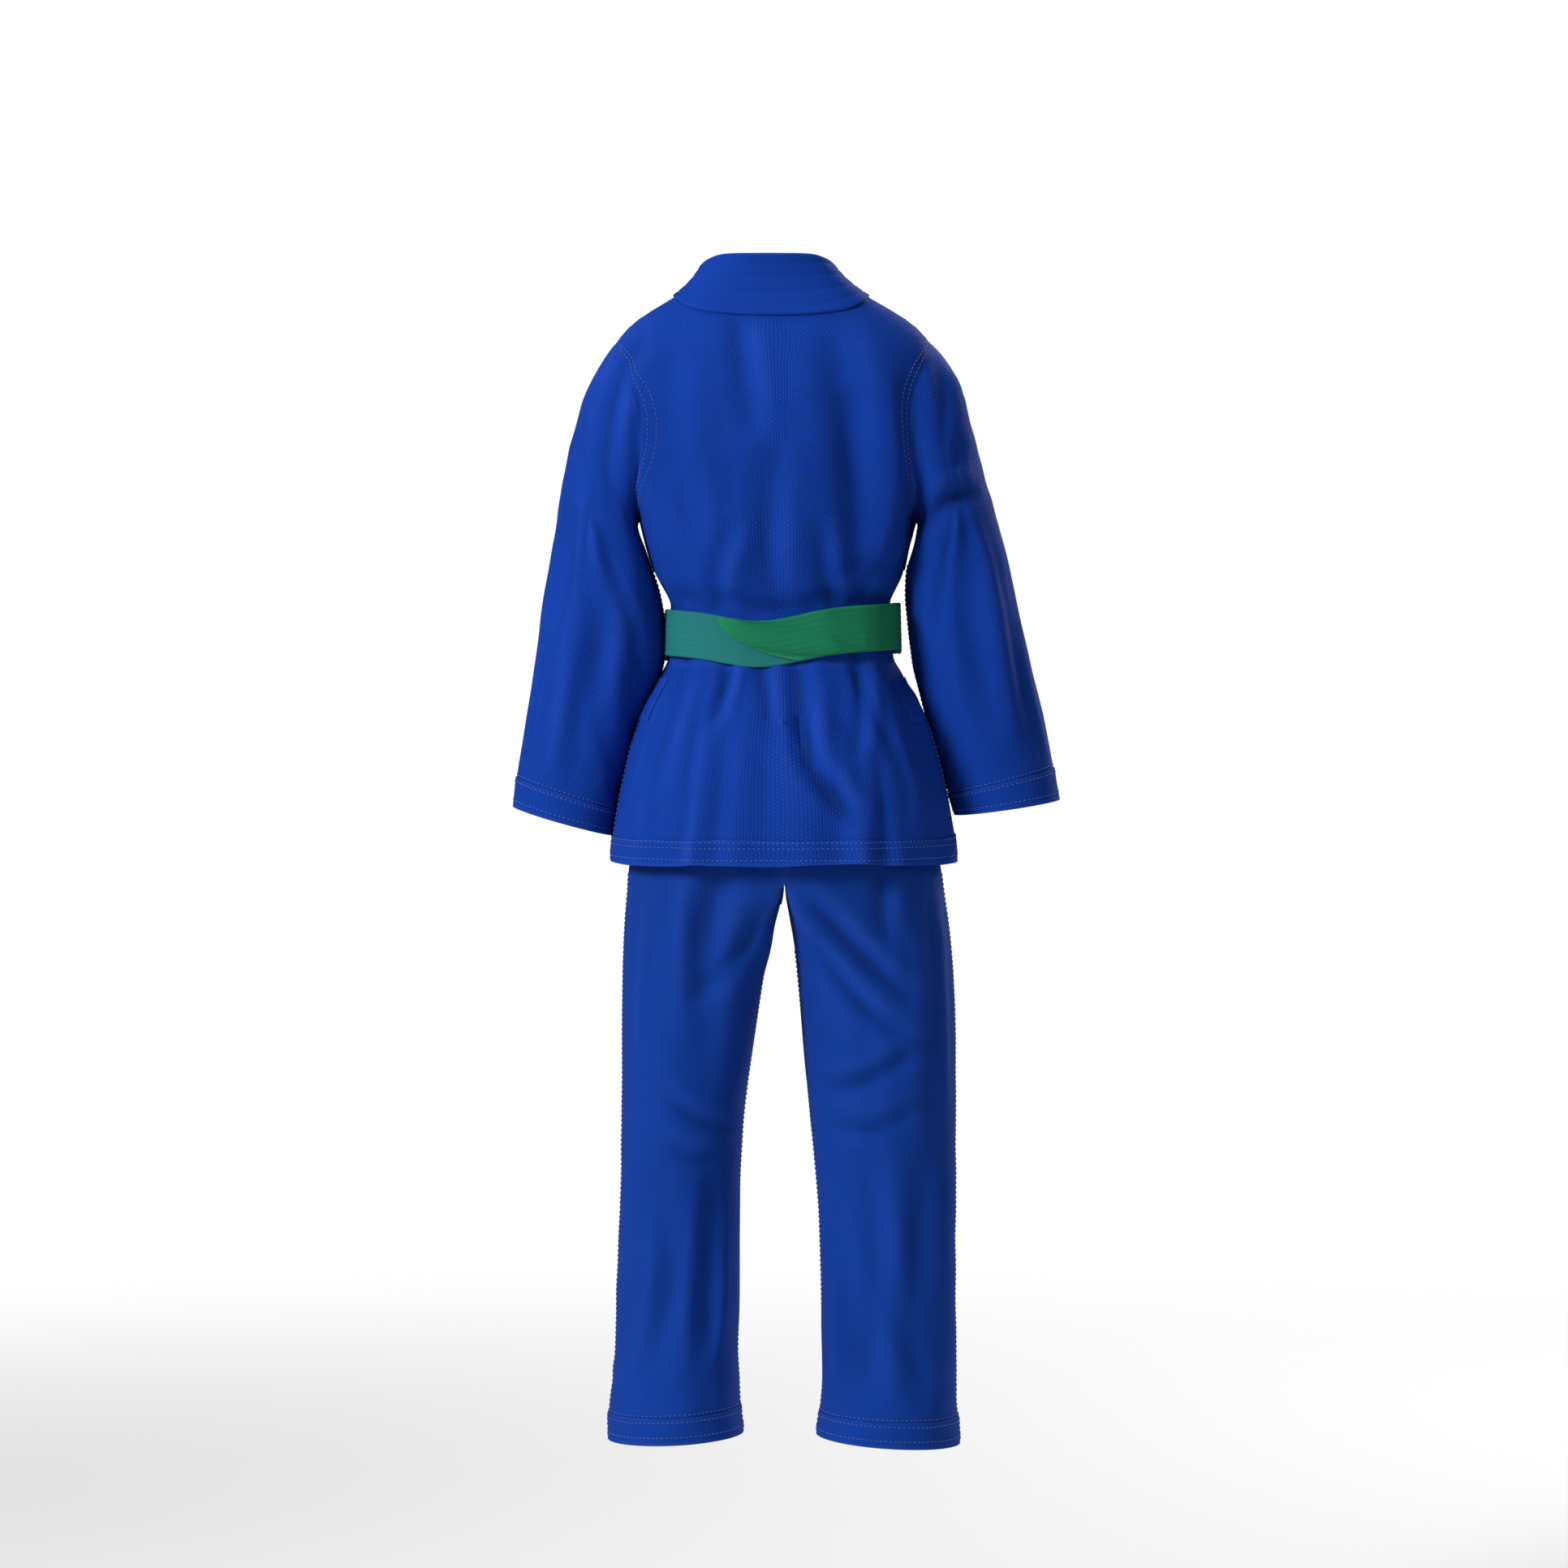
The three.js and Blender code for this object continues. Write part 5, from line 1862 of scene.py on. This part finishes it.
class UniformStage(bpy.types.PropertyGroup):
    distance: length("Camera distance", "From the camera to the uniform", 5.0, 1.0, 20.0)
    frame_width: length("Frame width", "Width of what the camera sees", 1.362, 0.5, 5.0)
    aim: length("Aim", "Height that the camera aims at, from the neck", -0.415, -2.0, 2.0)
    tilt: bpy.props.FloatProperty(
        name="Tilt", description="How far the camera looks down", default=math.radians(3), subtype="ANGLE")
    key: bpy.props.FloatProperty(name="Key", description="Power of the main light", default=208, subtype="POWER")
    air: ratio("Air", "Strength of the light from all round", 0.15, 0.0, 1.0)


class UNIFORM_OT_jacket(bpy.types.Operator):
    """Builds the jacket's back, fronts, skirts, sleeves and patches"""
    bl_idname = "uniform.jacket"
    bl_label = "Jacket"

    def execute(self, context):
        make_jacket(context.scene.uniform_jacket)
        return {"FINISHED"}


class UNIFORM_OT_collar(bpy.types.Operator):
    """Sews the collar and the lapels on"""
    bl_idname = "uniform.collar"
    bl_label = "Collar and lapels"

    def execute(self, context):
        make_collar(context.scene.uniform_jacket)
        return {"FINISHED"}


class UNIFORM_OT_belt(bpy.types.Operator):
    """Winds and knots the belt"""
    bl_idname = "uniform.belt"
    bl_label = "Belt"

    def execute(self, context):
        make_belt(context.scene.uniform_belt)
        return {"FINISHED"}


class UNIFORM_OT_trousers(bpy.types.Operator):
    """Builds the trousers, their waistband and patches"""
    bl_idname = "uniform.trousers"
    bl_label = "Trousers"

    def execute(self, context):
        make_trousers(context.scene.uniform_trousers)
        return {"FINISHED"}


class UNIFORM_OT_stitches(bpy.types.Operator):
    """Sews the rows of stitches"""
    bl_idname = "uniform.stitches"
    bl_label = "Stitches"

    def execute(self, context):
        make_stitches(context.scene.uniform_stitches)
        return {"FINISHED"}


class UNIFORM_OT_stage(bpy.types.Operator):
    """Sets the floor, the lights and the camera"""
    bl_idname = "uniform.stage"
    bl_label = "Stage"

    def execute(self, context):
        make_stage(context.scene.uniform_stage)
        return {"FINISHED"}


GROUPS = {
    "uniform_jacket": UniformJacket, "uniform_trousers": UniformTrousers, "uniform_belt": UniformBelt,
    "uniform_stitches": UniformStitches, "uniform_stage": UniformStage,
}
OPERATORS = (
    UNIFORM_OT_jacket, UNIFORM_OT_collar, UNIFORM_OT_belt, UNIFORM_OT_trousers, UNIFORM_OT_stitches,
    UNIFORM_OT_stage,
)


class UNIFORM_PT_panel(bpy.types.Panel):
    """Lists the uniform's pieces and what can be changed in them"""
    bl_idname = "UNIFORM_PT_panel"
    bl_label = "Training uniform"
    bl_space_type = "VIEW_3D"
    bl_region_type = "UI"
    bl_category = "Uniform"

    def draw(self, context):
        for operator in OPERATORS:
            self.layout.operator(operator.bl_idname)
        for name, kind in GROUPS.items():
            box = self.layout.box()
            settings = getattr(context.scene, name)
            for key in kind.__annotations__:
                box.prop(settings, key)


def register():
    for kind in (*GROUPS.values(), *OPERATORS, UNIFORM_PT_panel):
        bpy.utils.register_class(kind)
    for name, kind in GROUPS.items():
        setattr(bpy.types.Scene, name, bpy.props.PointerProperty(type=kind))


def unregister():
    for name in GROUPS:
        delattr(bpy.types.Scene, name)
    for kind in (UNIFORM_PT_panel, *reversed(OPERATORS), *reversed(GROUPS.values())):
        bpy.utils.unregister_class(kind)


def clear_nets():
    """Takes away the nets that the pieces were cut from."""
    for key, value in MADE.items():
        if isinstance(value, Cloth):
            bpy.data.objects.remove(value.obj)
    MADE.clear()


def main():
    register()
    bpy.ops.uniform.jacket()
    bpy.ops.uniform.collar()
    bpy.ops.uniform.belt()
    bpy.ops.uniform.trousers()
    bpy.ops.uniform.stitches()
    bpy.ops.uniform.stage()
    clear_nets()


if __name__ == "__main__":
    main()
